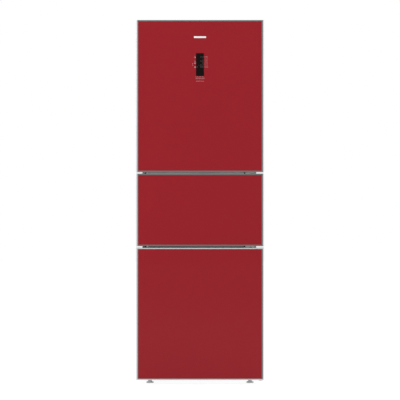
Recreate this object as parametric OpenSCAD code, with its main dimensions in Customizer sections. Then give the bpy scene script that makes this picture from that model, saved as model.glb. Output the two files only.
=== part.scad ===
// Three-door fridge freezer with glass doors hinged on the right.
// Origin: on the floor under the middle of the body. +X right, -Y front, +Z up.

/* [Overall] */
// Width over the cabinet and the doors
body_w = 595; // [570:1:640]
// Depth from the face of the doors to the back panel
body_d = 650; // [630:1:700]
// Height of the lower door's bottom edge above the floor
door_lift = 24; // [22:0.5:30]

/* [Doors] */
// Height of the upper door
upper_door_h = 706; // [680:1:760]
// Height of the middle door
middle_door_h = 335; // [315:1:380]
// Height of the lower door
lower_door_h = 614; // [590:1:660]
// Gap between two doors
door_gap = 9; // [8:0.5:12]
// Thickness of a door without its seal
door_t = 58; // [54:1:64]
// Thickness of the door glass
glass_t = 4; // [3:0.5:5]
// Width of the trim beside the glass, seen from the front
trim_face = 5; // [4:0.5:8]
// Width of the trim on the grip's side, seen from the front
grip_face = 6.5; // [4:0.5:9]
// Height of the end cap above or below the glass, seen from the front
cap_face = 5; // [4:0.5:8]
// Wall of the side trims
trim_wall = 1.6; // [1.2:0.1:2.2]
// Length of an end cap's skirt inside the door
cap_skirt = 17; // [12:1:22]
// Width of the finger grip, front to back
grip_w = 24; // [20:1:28]
// Depth of the finger grip
grip_depth = 13; // [10:0.5:16]
// Finger grip's distance behind the door's face
grip_setback = 14; // [12:1:18]

/* [Door seals] */
// Space between a door's back and the cabinet, filled by the seal
seal_t = 12; // [10:0.5:14]
// Width of the seal
seal_w = 12; // [10:0.5:13]
// Distance of the seal from the door's edge
seal_inset = 12.5; // [12:0.5:14]

/* [Cabinet] */
// Height of the upper door's front above the cabinet's top
door_rise = 22; // [20:1:26]
// Thickness of the cabinet's side walls
side_wall = 50; // [46:1:56]
// Thickness of the cabinet's top
top_wall = 50; // [45:1:60]
// Thickness of the cabinet's back
back_wall = 52; // [48:1:60]
// Thickness of the two dividing walls
divider_t = 60; // [58:1:66]
// Thickness of the floor under the freezer
floor_wall = 56; // [52:1:62]
// Thickness of the outer steel sheet
sheet_t = 0.8; // [0.6:0.1:1.2]
// Thickness of the inner plastic liners
liner_t = 1.6; // [1.2:0.1:2]
// Radius of the liners' corners
liner_r = 18; // [12:1:24]

/* [Compressor bay] */
// Height of the bay at the lower back
bay_h = 205; // [200:1:215]
// Depth of the bay
bay_d = 180; // [175:1:185]
// Insulation between the bay and the freezer
bay_wall = 45; // [40:1:50]
// Radius of the compressor's housing
comp_r = 72; // [66:1:74]

/* [Hinges] */
// Hinge axis to the side of the door
hinge_side = 13; // [12.5:0.5:15]
// Hinge axis to the face of the door
hinge_front = 35; // [33:0.5:36]
// Thickness of the hinge plates
hinge_t = 4; // [3.5:0.1:4.5]
// Radius of the hinge pins
pin_r = 4; // [3.5:0.1:4.5]
// Length of a hinge pin inside the door
pin_len = 16; // [12:0.5:17]
// Radial running clearance of the hinge pins
pin_clear = 0.05; // [0.02:0.01:0.1]

/* [Inside] */
// Thickness of the glass shelves
shelf_t = 4; // [3:0.5:5]
// Number of glass shelves above the crisper
shelf_count = 3; // [2:1:4]
// Height of the crisper drawer
crisper_h = 152; // [130:1:170]
// Height of the drawer behind the middle door
mid_drawer_h = 190; // [150:1:215]
// Wall of the drawers and the door bins
drawer_wall = 2.4; // [2:0.1:3]
// Depth of the door bins, front to back
bin_d = 104; // [80:1:110]
// Radius of the freezer fan's blades
fan_r = 46; // [40:1:50]
// Clearance between pieces that slide or lift out
slide_clear = 0.3; // [0.2:0.05:0.5]

/* [Base] */
// Radius of the rear rollers
roller_r = 16; // [14:0.5:18]
// Radius of a levelling foot's pad
foot_r = 18; // [15:0.5:20]
// Radius of a levelling foot's stem
foot_stem_r = 5; // [4:0.5:6]
// Travel of a levelling foot
foot_travel = 12; // [6:1:14]

/* [Hidden] */
$fn = 48;
eps = 0.01;

x_out = body_w / 2;
y_front = -body_d / 2;
y_back = body_d / 2;
y_glass = y_front + trim_wall;
y_glass_back = y_glass + glass_t;
y_door_back = y_front + door_t;
y_flange = y_door_back - trim_wall;
y_cab = y_door_back + seal_t;
y_in = y_back - back_wall;

low_z = [door_lift, door_lift + lower_door_h];
mid_z = [low_z[1] + door_gap, low_z[1] + door_gap + middle_door_h];
up_z = [mid_z[1] + door_gap, mid_z[1] + door_gap + upper_door_h];
div_z = [(low_z[1] + mid_z[0]) / 2, (mid_z[1] + up_z[0]) / 2];

washer_t = door_gap / 2 - hinge_t / 2 - slide_clear;
cab_bottom = low_z[0] - washer_t - slide_clear;
cab_top = up_z[1] - door_rise;
strip_t = 11;
step_z = cab_top - washer_t - slide_clear;

x_in = x_out - side_wall;
frz_z = [cab_bottom + floor_wall, div_z[0] - divider_t / 2];
mcomp_z = [div_z[0] + divider_t / 2, div_z[1] - divider_t / 2];
frg_z = [div_z[1] + divider_t / 2, cab_top - top_wall];
y_bay = y_back - bay_d;
y_hump = y_bay - bay_wall;
bay_top = cab_bottom + bay_h;
hump_top = bay_top + bay_wall;

hinge_x = x_out - hinge_side;
hinge_y = y_front + hinge_front;
hinge_arm_r = 10;
bore_r = pin_r + pin_clear;
boss_r = pin_r + 4.5;
bore_len = pin_len + 1;

flange_w = 28;
door_x0 = -x_out + grip_depth + trim_wall;
door_x1 = x_out - trim_wall;
dyke_gap = 14;
dyke_x = x_in - dyke_gap;
dyke_w = 24;
dyke_r = 14;
recess_d = 8;

wall_in = x_in - liner_t;
ledge_w = 9;
ledge_h = 12;
drawer_x = wall_in - 3;
drawer_front = y_cab + 50;
bin_x = dyke_x - dyke_w - liner_t - 1.2;
bin_h = 88;
bin_lift = 30;
lug_r = 5;

y_shelf0 = y_cab + 108;
y_shelf1 = y_in - liner_t - 14;
crisper_top = frg_z[0] + liner_t + slide_clear + crisper_h;
shelf_z0 = crisper_top + 14;
shelf_pitch = (frg_z[1] - shelf_z0) / (shelf_count + 1);
function shelf_z(i) = shelf_z0 + i * shelf_pitch;

frz_floor = frz_z[0] + liner_t;
low_drawer_h = hump_top - frz_floor - 6;
drawer_gap = ledge_h + 3;
frz_head = 10;
frz_drawer_h = (frz_z[1] - liner_t - frz_head - frz_floor - slide_clear - low_drawer_h - 2 * drawer_gap) / 2;
frz_top_z = frz_z[1] - liner_t - frz_head - frz_drawer_h;
frz_mid_z = frz_top_z - drawer_gap - frz_drawer_h;

y_duct = y_in - liner_t - 74;
fan_z = frz_z[1] - 88;
fan_y = y_duct + 14;
blade_d = 16;
motor_y = fan_y + blade_d + 6;
shaft_r = 2;
motor_r = 17.2;

axle_r = 4;
axle_x = x_out - 66;
axle_y = y_back - 42;
roller_w = 20;
foot_x = x_out - 62;
foot_y = y_cab + 40;

disp_w = 37;
disp_h = 106;
disp_drop = 207;
disp_z = up_z[1] - disp_drop;
disp_body_t = 14;

steel = [0.75, 0.76, 0.78];
paint = [0.62, 0.63, 0.65];
cap_grey = [0.55, 0.56, 0.57];
red_glass = [0.59, 0.14, 0.18];
white_abs = [0.93, 0.94, 0.95];
dark = [0.12, 0.12, 0.13];
copper = [0.72, 0.45, 0.3];
clear_blue = [0.78, 0.88, 0.92];
foam = [0.9, 0.82, 0.6];

// Extrudes a flat shape drawn in X and Z from y0 to y1
module along_y(y0, y1) {
    translate([0, y1, 0]) rotate([90, 0, 0]) linear_extrude(y1 - y0) children();
}

// Extrudes a flat shape drawn in Y and Z from x0 to x1
module along_x(x0, x1) {
    translate([x0, 0, 0]) rotate([90, 0, 90]) linear_extrude(x1 - x0) children();
}

// Extrudes a flat shape drawn in X and Y from z0 to z1
module along_z(z0, z1) {
    translate([0, 0, z0]) linear_extrude(z1 - z0) children();
}

// Box between two corners
module block(a, b) {
    translate(a) cube(b - a);
}

// Flat rectangle between two corners, with rounded corners
module round_rect(a, b, r) {
    translate([a[0] + r, a[1]]) square([b[0] - a[0] - 2 * r, b[1] - a[1]]);
    translate([a[0], a[1] + r]) square([b[0] - a[0], b[1] - a[1] - 2 * r]);
    for (x = [a[0] + r, b[0] - r], y = [a[1] + r, b[1] - r]) translate([x, y]) circle(r);
}

// Flat frame with rounded corners inside and out
module round_frame(a, b, r, w) {
    difference() {
        round_rect(a, b, r);
        round_rect(a + [w, w], b - [w, w], max(r - w, 1));
    }
}

// Copies its children to both sides of the body
module both_sides() {
    children();
    mirror([1, 0, 0]) children();
}

// Round rod from one point to another
module rod(a, b, r) {
    d = b - a;
    translate(a) rotate([0, acos(d[2] / norm(d)), atan2(d[1], d[0])]) cylinder(r = r, h = norm(d));
}

// Unit vector from one point towards another
function heading(a, b) = (b - a) / norm(b - a);

// Tube through points joined at right angles, with bends of radius bend
module bent_tube(points, r, bend) {
    last = len(points) - 1;
    for (i = [0:last - 1]) {
        u = heading(points[i], points[i + 1]);
        rod(points[i] + (i > 0 ? bend : 0) * u, points[i + 1] - (i < last - 1 ? bend : 0) * u, r);
    }
    for (i = [1:last - 1]) {
        u = heading(points[i - 1], points[i]);
        v = heading(points[i], points[i + 1]);
        c = points[i] + bend * (v - u);
        w = cross(-v, u);
        multmatrix([[-v[0], u[0], w[0], c[0]], [-v[1], u[1], w[1], c[1]], [-v[2], u[2], w[2], c[2]], [0, 0, 0, 1]])
            rotate_extrude(angle = 90) translate([bend, 0]) circle(r);
    }
}

// Cabinet

bend_r = 4;
rear_lip = 14;
crossbar_h = divider_t - 4;
crossbar_d = 12;
crossbar_t = 1.2;
tray_t = 1.5;
tray_lip = 22;
foot_boss_r = foot_stem_r + 4;
foot_boss_h = foot_travel + 18;
screw_r = 2.5;
flange_t = 3;
flange_x = [hinge_x - 79, x_out - 4];
flange_half = 14;
flange_screws = [51, 79];
plate_l = 72;
plate_w = 34;
plate_screw = [6, 18];
low_plate_l = 46;
low_screw = 20;
pin_tail = 2;
screw_hole_h = 30;

// The shell is one sheet folded round both sides and the top
module cabinet_shell() {
    color(paint) difference() {
        union() {
            along_y(y_cab, y_back) difference() {
                shell_outline(0, bend_r);
                shell_outline(sheet_t, bend_r - sheet_t);
            }
            along_y(y_cab, y_cab + sheet_t) shell_return(flange_w, bend_r);
            along_y(y_back - sheet_t, y_back) shell_return(rear_lip, bend_r);
        }
        at_hinge_screws() cylinder(r = screw_r + 0.2, h = screw_hole_h, center = true);
    }
}

// Outline of the cabinet, drawn in by d and open below
module shell_outline(d, r) {
    round_rect([d - x_out, cab_bottom + 1], [x_out - d, cab_top - d], r);
    translate([d - x_out, cab_bottom - (d > 0 ? 1 : 0)]) square([body_w - 2 * d, 20]);
}

// Folded edge of the shell, w wide
module shell_return(w, r) {
    difference() {
        shell_outline(0, r);
        translate([w - x_out, cab_bottom - 1]) square([body_w - 2 * w, cab_top - cab_bottom - w + 1]);
    }
}

// The back sheet is stiffened by a few shallow upright grooves
module back_panel() {
    lip = rear_lip + 0.5;
    groove_w = 26;
    groove_end = 60;
    groove_count = 5;
    pitch = (body_w - 2 * lip) / groove_count;
    z0 = bay_top + 4;
    z1 = cab_top - lip;
    t = 2 * sheet_t;
    color(paint) difference() {
        block([lip - x_out, y_back - t, z0], [x_out - lip, y_back, z1]);
        for (i = [0:groove_count - 1]) translate([lip - x_out + (i + 0.5) * pitch, 0, 0])
            along_y(y_back - sheet_t, y_back + 1)
                round_rect([-groove_w / 2, z0 + groove_end], [groove_w / 2, z1 - groove_end], groove_w / 2 - 1);
    }
}

// Space of one compartment, drawn in by d
module cavity(z, d) {
    along_y(y_cab - (d > 0 ? 1 : 0), y_in - d)
        round_rect([d - x_in, z[0] + d], [x_in - d, z[1] - d], liner_r - d);
}

// Space of the freezer, which steps over the compressor bay
module freezer_cavity(d) {
    difference() {
        cavity(frz_z, d);
        block([-x_out, y_hump - d, 0], [x_out, y_back, hump_top + d]);
    }
}

// Foamed body of the cabinet, with a space for each liner and for the bay
module foam_body() {
    difference() {
        along_y(y_cab + liner_t, y_back - 2 * sheet_t) intersection() {
            shell_outline(sheet_t, bend_r - sheet_t);
            translate([-x_out, cab_bottom + tray_t]) square([body_w, cab_top - cab_bottom]);
        }
        cavity(frg_z, 0);
        cavity(mcomp_z, 0);
        freezer_cavity(0);
        block([-x_out, y_bay, 0], [x_out, y_back + 1, bay_top]);
        for (z = div_z) crossbar(z);
        both_sides() translate([foot_x, foot_y, 0]) cylinder(r = foot_boss_r, h = cab_bottom + foot_boss_h);
        at_hinge_screws() cylinder(r = screw_r + 0.2, h = screw_hole_h, center = true);
    }
}

// Where the foam is the back wall, the step over the bay and the walls between the compartments
module inner_space() {
    block([-x_out, y_in, 0], [x_out, y_back, cab_top]);
    block([-x_in, y_hump, 0], [x_in, y_back, hump_top]);
    for (z = [[frz_z[1], mcomp_z[0]], [mcomp_z[1], frg_z[0]]])
        block([liner_r - x_in, y_cab, z[0]], [x_in - liner_r, y_back, z[1]]);
}

module wall_insulation() {
    color(foam) difference() {
        foam_body();
        inner_space();
    }
}

module inner_insulation() {
    color(foam) intersection() {
        foam_body();
        inner_space();
    }
}

// Plastic liner of one compartment, with its flange between the heights in edge
module liner(z, edge) {
    difference() {
        union() {
            children();
            along_y(y_cab, y_cab + liner_t) translate([flange_w - x_out, edge[0]])
                square([body_w - 2 * flange_w, edge[1] - edge[0]]);
        }
        cavity(z, liner_t);
    }
}

// Ledge on both side walls, whose top is at z
module ledges(z, y0, y1) {
    both_sides() along_y(y0, y1) polygon([
        [wall_in + liner_t / 2, z], [wall_in - ledge_w, z],
        [wall_in - ledge_w, z - ledge_h / 3], [wall_in + liner_t / 2, z - ledge_h]
    ]);
}

module fridge_liner() {
    color(white_abs) {
        liner(frg_z, [div_z[1] + crossbar_h / 2, cab_top - flange_w]) cavity(frg_z, 0);
        for (i = [0:shelf_count]) ledges(shelf_z(i), y_shelf0 + 8, y_in - liner_t / 2);
    }
}

module middle_liner() {
    color(white_abs)
        liner(mcomp_z, [div_z[0] + crossbar_h / 2, div_z[1] - crossbar_h / 2]) cavity(mcomp_z, 0);
}

module freezer_liner() {
    color(white_abs) {
        difference() {
            union() {
                freezer_cavity(0);
                along_y(y_cab, y_cab + liner_t) translate([flange_w - x_out, cab_bottom + tray_lip])
                    square([body_w - 2 * flange_w, div_z[0] - crossbar_h / 2 - cab_bottom - tray_lip]);
            }
            freezer_cavity(liner_t);
        }
        intersection() {
            freezer_cavity(0);
            for (z = [frz_top_z, frz_mid_z]) ledges(z - slide_clear, drawer_front + 10, y_duct - 8);
        }
    }
}

// Steel channel behind the gap between two doors
module crossbar(z) {
    half = crossbar_h / 2;
    y0 = y_cab + sheet_t;
    along_x(sheet_t - x_out, x_out - sheet_t) {
        translate([y0, z - half]) square([crossbar_t, crossbar_h]);
        for (s = [z - half, z + half - crossbar_t]) translate([y0, s]) square([crossbar_d, crossbar_t]);
    }
}

module crossbars() {
    color(paint) difference() {
        for (z = div_z) crossbar(z);
        at_hinge_screws() cylinder(r = screw_r + 0.2, h = screw_hole_h, center = true);
    }
}

// Hinges

// Puts its children at each screw of the hinges, and at the spare one on the crossbars' other end,
// with the head towards local +Z
module at_hinge_screws() {
    plate_y = y_cab + plate_l - 2.8 * plate_screw[1];
    low_y = y_cab + low_plate_l - 1.6 * low_screw;
    for (z = div_z, x = flange_screws) translate([x_out - x, y_cab - flange_t, z]) rotate([90, 0, 0]) children();
    for (z = div_z) translate([flange_screws[0] - x_out, y_cab + sheet_t, z]) rotate([90, 0, 0]) children();
    for (s = [0:2])
        translate([hinge_x - s * plate_screw[0], plate_y + s * plate_screw[1], cab_top + hinge_t]) children();
    for (s = [0:1])
        translate([hinge_x, low_y + s * low_screw, cab_bottom - hinge_t]) rotate([180, 0, 0]) children();
}

module hinge_screws() {
    head_r = 4.6;
    head_h = 2.4;
    shank_l = 10;
    color(steel) at_hinge_screws() {
        difference() {
            cylinder(r = head_r, h = head_h);
            translate([0, 0, head_h / 2]) cylinder(r = head_r / 2.3, h = head_h, $fn = 6);
        }
        translate([0, 0, -shank_l]) cylinder(r = screw_r, h = shank_l + eps);
    }
}

// Flat arm from the hinge axis back to y1, widening to the width in x
module hinge_arm(x, y1) {
    translate([hinge_x, hinge_y]) circle(hinge_arm_r);
    translate([hinge_x - hinge_arm_r, hinge_y]) square([2 * hinge_arm_r, y1 - hinge_y]);
    translate([x[0], y_cab - flange_t]) square([x[1] - x[0], y1 - y_cab + flange_t]);
}

// Pin from height z0 to z1
module hinge_pin(z0, z1) {
    translate([hinge_x, hinge_y, z0]) cylinder(r = pin_r, h = z1 - z0);
}

// Washer that the door turns on
module hinge_washer(z0) {
    translate([hinge_x, hinge_y, z0]) cylinder(r = pin_r + 3.5, h = washer_t);
}

module top_hinge() {
    color(steel) {
        difference() {
            along_z(cab_top, cab_top + hinge_t) hinge_arm([hinge_x - plate_w, flange_x[1]], y_cab + plate_l);
            at_hinge_screws() cylinder(r = screw_r + 0.2, h = screw_hole_h, center = true);
        }
        hinge_washer(cab_top - washer_t);
        hinge_pin(step_z - pin_len, cab_top + hinge_t + pin_tail);
    }
}

module middle_hinges() {
    color(steel) for (z = div_z) {
        difference() {
            union() {
                along_z(z - hinge_t / 2, z + hinge_t / 2) hinge_arm(flange_x, y_cab);
                along_y(y_cab - flange_t, y_cab) round_rect([flange_x[0], z - flange_half], [flange_x[1], z + flange_half], 3);
            }
            at_hinge_screws() cylinder(r = screw_r + 0.2, h = screw_hole_h, center = true);
        }
        hinge_washer(z + hinge_t / 2);
        hinge_washer(z - hinge_t / 2 - washer_t);
        hinge_pin(z - door_gap / 2 - pin_len, z + door_gap / 2 + pin_len);
    }
}

module bottom_hinge() {
    color(steel) {
        difference() {
            along_z(cab_bottom - hinge_t, cab_bottom)
                hinge_arm([hinge_x - hinge_arm_r - 2, hinge_x + hinge_arm_r + 1], y_cab + low_plate_l);
            at_hinge_screws() cylinder(r = screw_r + 0.2, h = screw_hole_h, center = true);
        }
        hinge_washer(cab_bottom);
        hinge_pin(cab_bottom - hinge_t - pin_tail, low_z[0] + pin_len);
    }
}

// Moulded cover over the top hinge, hidden by the upper door's raised front
module hinge_cover() {
    wall = 2;
    nose_r = hinge_arm_r + 1 + wall;
    h = door_rise - 3;
    x = [hinge_x - plate_w - 8, x_out - 1];
    y = [y_cab + 2, y_cab + plate_l + 10];
    color(cap_grey) difference() {
        union() {
            along_z(cab_top, cab_top + h) round_rect([x[0], y[0]], [x[1], y[1]], 6);
            along_z(cab_top + hinge_t + 0.5, cab_top + h - 4) {
                translate([hinge_x, hinge_y]) circle(nose_r);
                translate([hinge_x - nose_r, hinge_y]) square([2 * nose_r, y[0] + 8 - hinge_y]);
            }
        }
        along_z(cab_top - 1, cab_top + h - wall) round_rect([x[0] + wall, y[0] + wall], [x[1] - wall, y[1] - wall], 4);
        block([x[0] + wall, y[0] - 1, cab_top - 1], [x[1] - wall, y[0] + wall + 1, cab_top + hinge_t + 0.5]);
        along_z(cab_top - 1, cab_top + hinge_t + 5) {
            translate([hinge_x, hinge_y]) circle(nose_r - wall);
            translate([hinge_x - nose_r + wall, hinge_y]) square([2 * (nose_r - wall), y[0] + 8 - hinge_y]);
        }
    }
}

// Bright ends of the gaps between the doors: over the hinge arm on the right, blank on the left
module gap_caps() {
    half = door_gap / 2 - 0.8;
    right_w = 37;
    left_w = 30;
    y0 = y_front + 2.5;
    color(steel) for (z = div_z) {
        difference() {
            along_z(z - half, z + half)
                round_rect([x_out - right_w, y0], [x_out - 0.5, hinge_y + hinge_arm_r + 6], 2);
            along_z(z - hinge_t / 2, z + hinge_t / 2) hinge_arm(flange_x, y_cab);
            translate([hinge_x, hinge_y, z - half - 1]) cylinder(r = pin_r + 3.5, h = 2 * half + 2);
        }
        along_z(z - half, z + half) difference() {
            round_rect([0.5 - x_out, y0], [left_w - x_out, y_cab], 2);
            round_rect([5 - x_out, y0 + 24], [left_w - 4.5 - x_out, y_cab - 6], 2);
        }
    }
}

// Base

module base_tray() {
    x0 = x_out - sheet_t;
    slot_half = sqrt(pow(roller_r + 1, 2) - pow(cab_bottom - roller_r, 2)) + 1;
    ear_t = 2;
    ear_in = roller_w / 2 + 0.5;
    color(steel) {
        difference() {
            union() {
                block([-x0, y_cab + sheet_t, cab_bottom], [x0, y_back - sheet_t, cab_bottom + tray_t]);
                block([flange_w - x_out, y_cab, cab_bottom],
                    [x_out - flange_w, y_cab + tray_t, cab_bottom + tray_lip]);
                block([rear_lip - x_out, y_back - tray_t, cab_bottom],
                    [x_out - rear_lip, y_back, cab_bottom + 10]);
                both_sides()
                    block([x0 - tray_t, y_bay, cab_bottom], [x0, y_back - sheet_t, cab_bottom + tray_lip]);
                both_sides() translate([foot_x, foot_y, cab_bottom]) cylinder(r = foot_boss_r, h = foot_boss_h);
                both_sides() for (s = [-1, 1]) translate([axle_x + s * (ear_in + ear_t / 2), 0, 0])
                    along_x(-ear_t / 2, ear_t / 2) {
                        translate([axle_y, roller_r]) circle(axle_r + 4);
                        translate([axle_y - axle_r - 4, roller_r])
                            square([2 * axle_r + 8, cab_bottom - roller_r + 1]);
                    }
            }
            both_sides() translate([foot_x, foot_y, 0])
                cylinder(r = foot_stem_r + slide_clear, h = cab_bottom + foot_boss_h + 1);
            both_sides() block([axle_x - ear_in, axle_y - slot_half, cab_bottom - 1],
                               [axle_x + ear_in, axle_y + slot_half, cab_bottom + tray_t + 1]);
            at_hinge_screws() cylinder(r = screw_r + 0.2, h = screw_hole_h, center = true);
            for (m = comp_mounts) translate([m[0], m[1], 0]) cylinder(r = mount_hole_r, h = comp_z);
        }
        both_sides() translate([axle_x, axle_y, roller_r]) rotate([0, 90, 0])
            cylinder(r = axle_r, h = 2 * (ear_in + ear_t) + 3, center = true);
    }
}

// Roller on its axle, with a lightened hub
module roller(side) {
    color(dark) translate([side * axle_x, axle_y, roller_r]) rotate([0, 90, 0]) difference() {
        cylinder(r = roller_r, h = roller_w, center = true);
        cylinder(r = axle_r + pin_clear, h = roller_w + 2, center = true);
        for (s = [-1, 1]) translate([0, 0, s * roller_w / 2]) difference() {
            cylinder(r = roller_r - 3, h = 6, center = true);
            cylinder(r = axle_r + 2.5, h = 8, center = true);
        }
    }
}

module roller_left() {
    roller(-1);
}

module roller_right() {
    roller(1);
}

// Levelling foot: pad, hexagon for the spanner and threaded stem
module foot(side) {
    pad_h = 6;
    nut_h = 7;
    color(dark) translate([side * foot_x, foot_y, 0]) {
        rotate_extrude() polygon([
            [0, 0], [foot_r - 1.5, 0], [foot_r, 1.5], [foot_r, pad_h - 2.5], [foot_r - 5, pad_h], [0, pad_h]
        ]);
        translate([0, 0, pad_h - eps]) cylinder(r = foot_stem_r + 4, h = nut_h, $fn = 6);
        cylinder(r = foot_stem_r, h = cab_bottom + foot_boss_h - 3);
    }
}

module foot_left() {
    foot(-1);
}

module foot_right() {
    foot(1);
}

// Compressor bay

comp_inset = 126.5;
comp_x = axle_x - comp_inset;
comp_y = (y_bay + y_back) / 2 + 2;
comp_pitch = [170, 96];
comp_mounts = [for (sx = [-1, 1], sy = [-1, 1])
    [comp_x + sx * comp_pitch[0] / 2, comp_y + sy * comp_pitch[1] / 2]];
mount_h = 14;
mount_hole_r = 3;
comp_z = cab_bottom + tray_t + mount_h;
comp_h = 142;
pipe_r = 3;
stubs = [[-10, 96], [26, 60]];
stub_len = comp_r + 4;

module compressor() {
    plate_t = 3;
    plate_edge = 13;
    sleeve_r = 7;
    seam_z = 78;
    dome_r = 34;
    box = [16, 44, 52];
    color(dark) {
        difference() {
            along_z(comp_z, comp_z + plate_t)
                round_rect([comp_x, comp_y] - comp_pitch / 2 - [plate_edge, plate_edge],
                           [comp_x, comp_y] + comp_pitch / 2 + [plate_edge, plate_edge], plate_edge - 1);
            for (m = comp_mounts) translate([m[0], m[1], comp_z - 1]) cylinder(r = sleeve_r, h = plate_t + 2);
        }
        translate([comp_x, comp_y, comp_z]) {
            rotate_extrude() intersection() {
                round_rect([-comp_r, 0], [comp_r, comp_h], dome_r);
                square([comp_r, comp_h]);
            }
            translate([0, 0, seam_z]) cylinder(r = comp_r + 2.5, h = 5);
            translate([comp_r - box[0] / 4, -box[1] / 2, seam_z - box[2] / 2 - 12]) cube(box);
            for (p = stubs) translate([0, p[0], p[1]]) rotate([0, -90, 0]) cylinder(r = pipe_r + 1.5, h = stub_len);
        }
    }
}

module compressor_mounts() {
    color(dark) for (m = comp_mounts) translate([m[0], m[1], cab_bottom + tray_t]) rotate_extrude() polygon([
        [3, 0], [11, 0], [11, 4], [8.5, 6], [8.5, 8], [11, 10], [11, mount_h],
        [6.8, mount_h], [6.8, mount_h + 3.4], [9.5, mount_h + 3.4], [9.5, mount_h + 6], [3, mount_h + 6]
    ]);
}

// Suction and discharge lines, filter drier and capillary in the bay
module refrigerant_pipes() {
    top = bay_top;
    side = comp_x - stub_len;
    drier_gap = 255;
    drier_x = comp_x - drier_gap;
    drier_y = y_bay + 26;
    drier_top = top - 40;
    drier_len = 90;
    bend = 12;
    suction = [comp_y + stubs[0][0], comp_z + stubs[0][1]];
    discharge = [comp_y + stubs[1][0], comp_z + stubs[1][1]];
    color(copper) {
        bent_tube([[side, suction[0], suction[1]], [side - 34, suction[0], suction[1]],
                   [side - 34, suction[0], top - 34], [side - 34, y_bay + 30, top - 34],
                   [side - 34, y_bay + 30, top]], pipe_r, bend);
        bent_tube([[side, discharge[0], discharge[1]], [side - 64, discharge[0], discharge[1]],
                   [side - 64, discharge[0], discharge[1] - 50], [side - 110, discharge[0], discharge[1] - 50],
                   [side - 110, discharge[0], top]], pipe_r, bend);
        translate([drier_x, drier_y, drier_top - drier_len]) rotate_extrude() polygon([
            [0, 0], [pipe_r, 0], [pipe_r, 6], [9, 18], [9, drier_len - 18], [pipe_r, drier_len - 6],
            [pipe_r, drier_len + 40], [0, drier_len + 40]
        ]);
        bent_tube([[drier_x, drier_y, drier_top - drier_len + 2], [drier_x, drier_y, drier_top - drier_len - 24],
                   [drier_x + 34, drier_y, drier_top - drier_len - 24], [drier_x + 34, drier_y, top]], 1.6, 9);
    }
}

// Tray on the compressor, where the defrost water dries up
module evaporation_tray() {
    z0 = comp_z + comp_h + slide_clear;
    x = [comp_x - comp_r - 10, comp_x + comp_r + 6];
    y = [comp_y - comp_r + 6, comp_y + comp_r - 14];
    h = 24;
    wall = 2.5;
    color(white_abs) difference() {
        along_z(z0, z0 + h) round_rect([x[0], y[0]], [x[1], y[1]], 10);
        along_z(z0 + wall, z0 + h + 1) round_rect([x[0] + wall, y[0] + wall], [x[1] - wall, y[1] - wall], 8);
    }
}

louvre_rows = 9;
louvre_cols = 4;

// Cover of the bay, with rows of pressed louvres
module rear_cover() {
    x = x_out - 16;
    z = [cab_bottom + tray_t + slide_clear, bay_top - slide_clear];
    t = cover_t;
    edge = 22;
    bar = 18;
    slot_w = (2 * x - 2 * edge - (louvre_cols - 1) * bar) / louvre_cols;
    pitch = (z[1] - z[0] - 2 * edge) / louvre_rows;
    slot_h = 8;
    color(dark) difference() {
        union() {
            block([-x, cover_y - t, z[0]], [x, cover_y, z[1]]);
            both_sides() block([x - t, cover_y - 14, z[0]], [x, cover_y, z[1]]);
            for (c = [0:louvre_cols - 1], r = [0:louvre_rows - 1]) if (!louvre_off(c, r))
                translate([edge - x + c * (slot_w + bar), cover_y - t, z[0] + edge + (r + 0.5) * pitch])
                    louvre(slot_w, slot_h, t);
        }
        for (c = [0:louvre_cols - 1], r = [0:louvre_rows - 1]) if (!louvre_off(c, r))
            translate([edge - x + c * (slot_w + bar) + 3, cover_y, z[0] + edge + (r + 0.5) * pitch])
                block([0, -t - 1, -slot_h / 2], [slot_w - 6, 1, -slot_h / 2 + 3.2]);
        along_y(y_back - 20, y_back + 1) translate([inlet_x, inlet_z]) circle(inlet_r);
    }
}

cover_t = 1.2;
cover_y = y_back - 1.8;
inlet_x = -x_out + 62;
inlet_z = cab_bottom + 44;
inlet_r = 11;

// The lower left corner stays plain round the mains inlet
function louvre_off(c, r) = c == 0 && r < 3;

// One louvre: a hood that leans inwards over its slot
module louvre(w, h, t) {
    along_x(0, w) polygon([[0.1, h / 2], [0.1, h / 2 - t], [-5 + t, -h / 2 + t], [-5, -h / 2 + t], [-5, -h / 2 + 2 * t], [-t, h / 2]]);
}

// Gland for the mains lead
module mains_inlet() {
    lip = y_back - cover_y - 0.2;
    color(dark) translate([inlet_x, cover_y + lip, inlet_z]) rotate([90, 0, 0]) rotate_extrude() polygon([
        [4, 0], [inlet_r + 4, 0], [inlet_r + 4, lip], [inlet_r - 0.1, lip], [inlet_r - 0.1, lip + 8],
        [inlet_r - 2, lip + 14], [7, lip + 26], [4, lip + 26]
    ]);
}

// Inside the fridge

// Air channel down the back of the fridge, with rows of outlets
module fridge_duct() {
    half = 95;
    y = [y_in - liner_t - 10, y_in - liner_t];
    z = [shelf_z0 + shelf_t + 8, frg_z[1] - liner_t - 12];
    wall = 2;
    color(white_abs) difference() {
        union() {
            along_y(y[0] + 4, y[1]) round_rect([-half, z[0]], [half, z[1]], 12);
            along_y(y[0], y[1]) round_rect([-half + 8, z[0] + 8], [half - 8, z[1] - 8], 10);
        }
        along_y(y[0] + wall, y[1] + 1) round_rect([-half + 12, z[0] + 12], [half - 12, z[1] - 12], 8);
        for (i = [1:shelf_count], s = [-1, 1], k = [0:3])
            along_y(y[0] - 1, y[0] + wall + 1)
                round_rect([s * 46 - 26, shelf_z(i) + 34 + 11 * k], [s * 46 + 26, shelf_z(i) + 39 + 11 * k], 2.4);
    }
}

module lamp_lens() {
    z1 = frg_z[1] - liner_t;
    size = [180, 46, 9];
    wall = 2;
    y0 = y_shelf0 + 20;
    color("white") difference() {
        along_z(z1 - size[2], z1) round_rect([-size[0] / 2, y0], [size[0] / 2, y0 + size[1]], 8);
        along_z(z1 - size[2] + wall, z1 + 1)
            round_rect([wall - size[0] / 2, y0 + wall], [size[0] / 2 - wall, y0 + size[1] - wall], 6);
    }
}

shelf_x = wall_in - 2;

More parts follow.
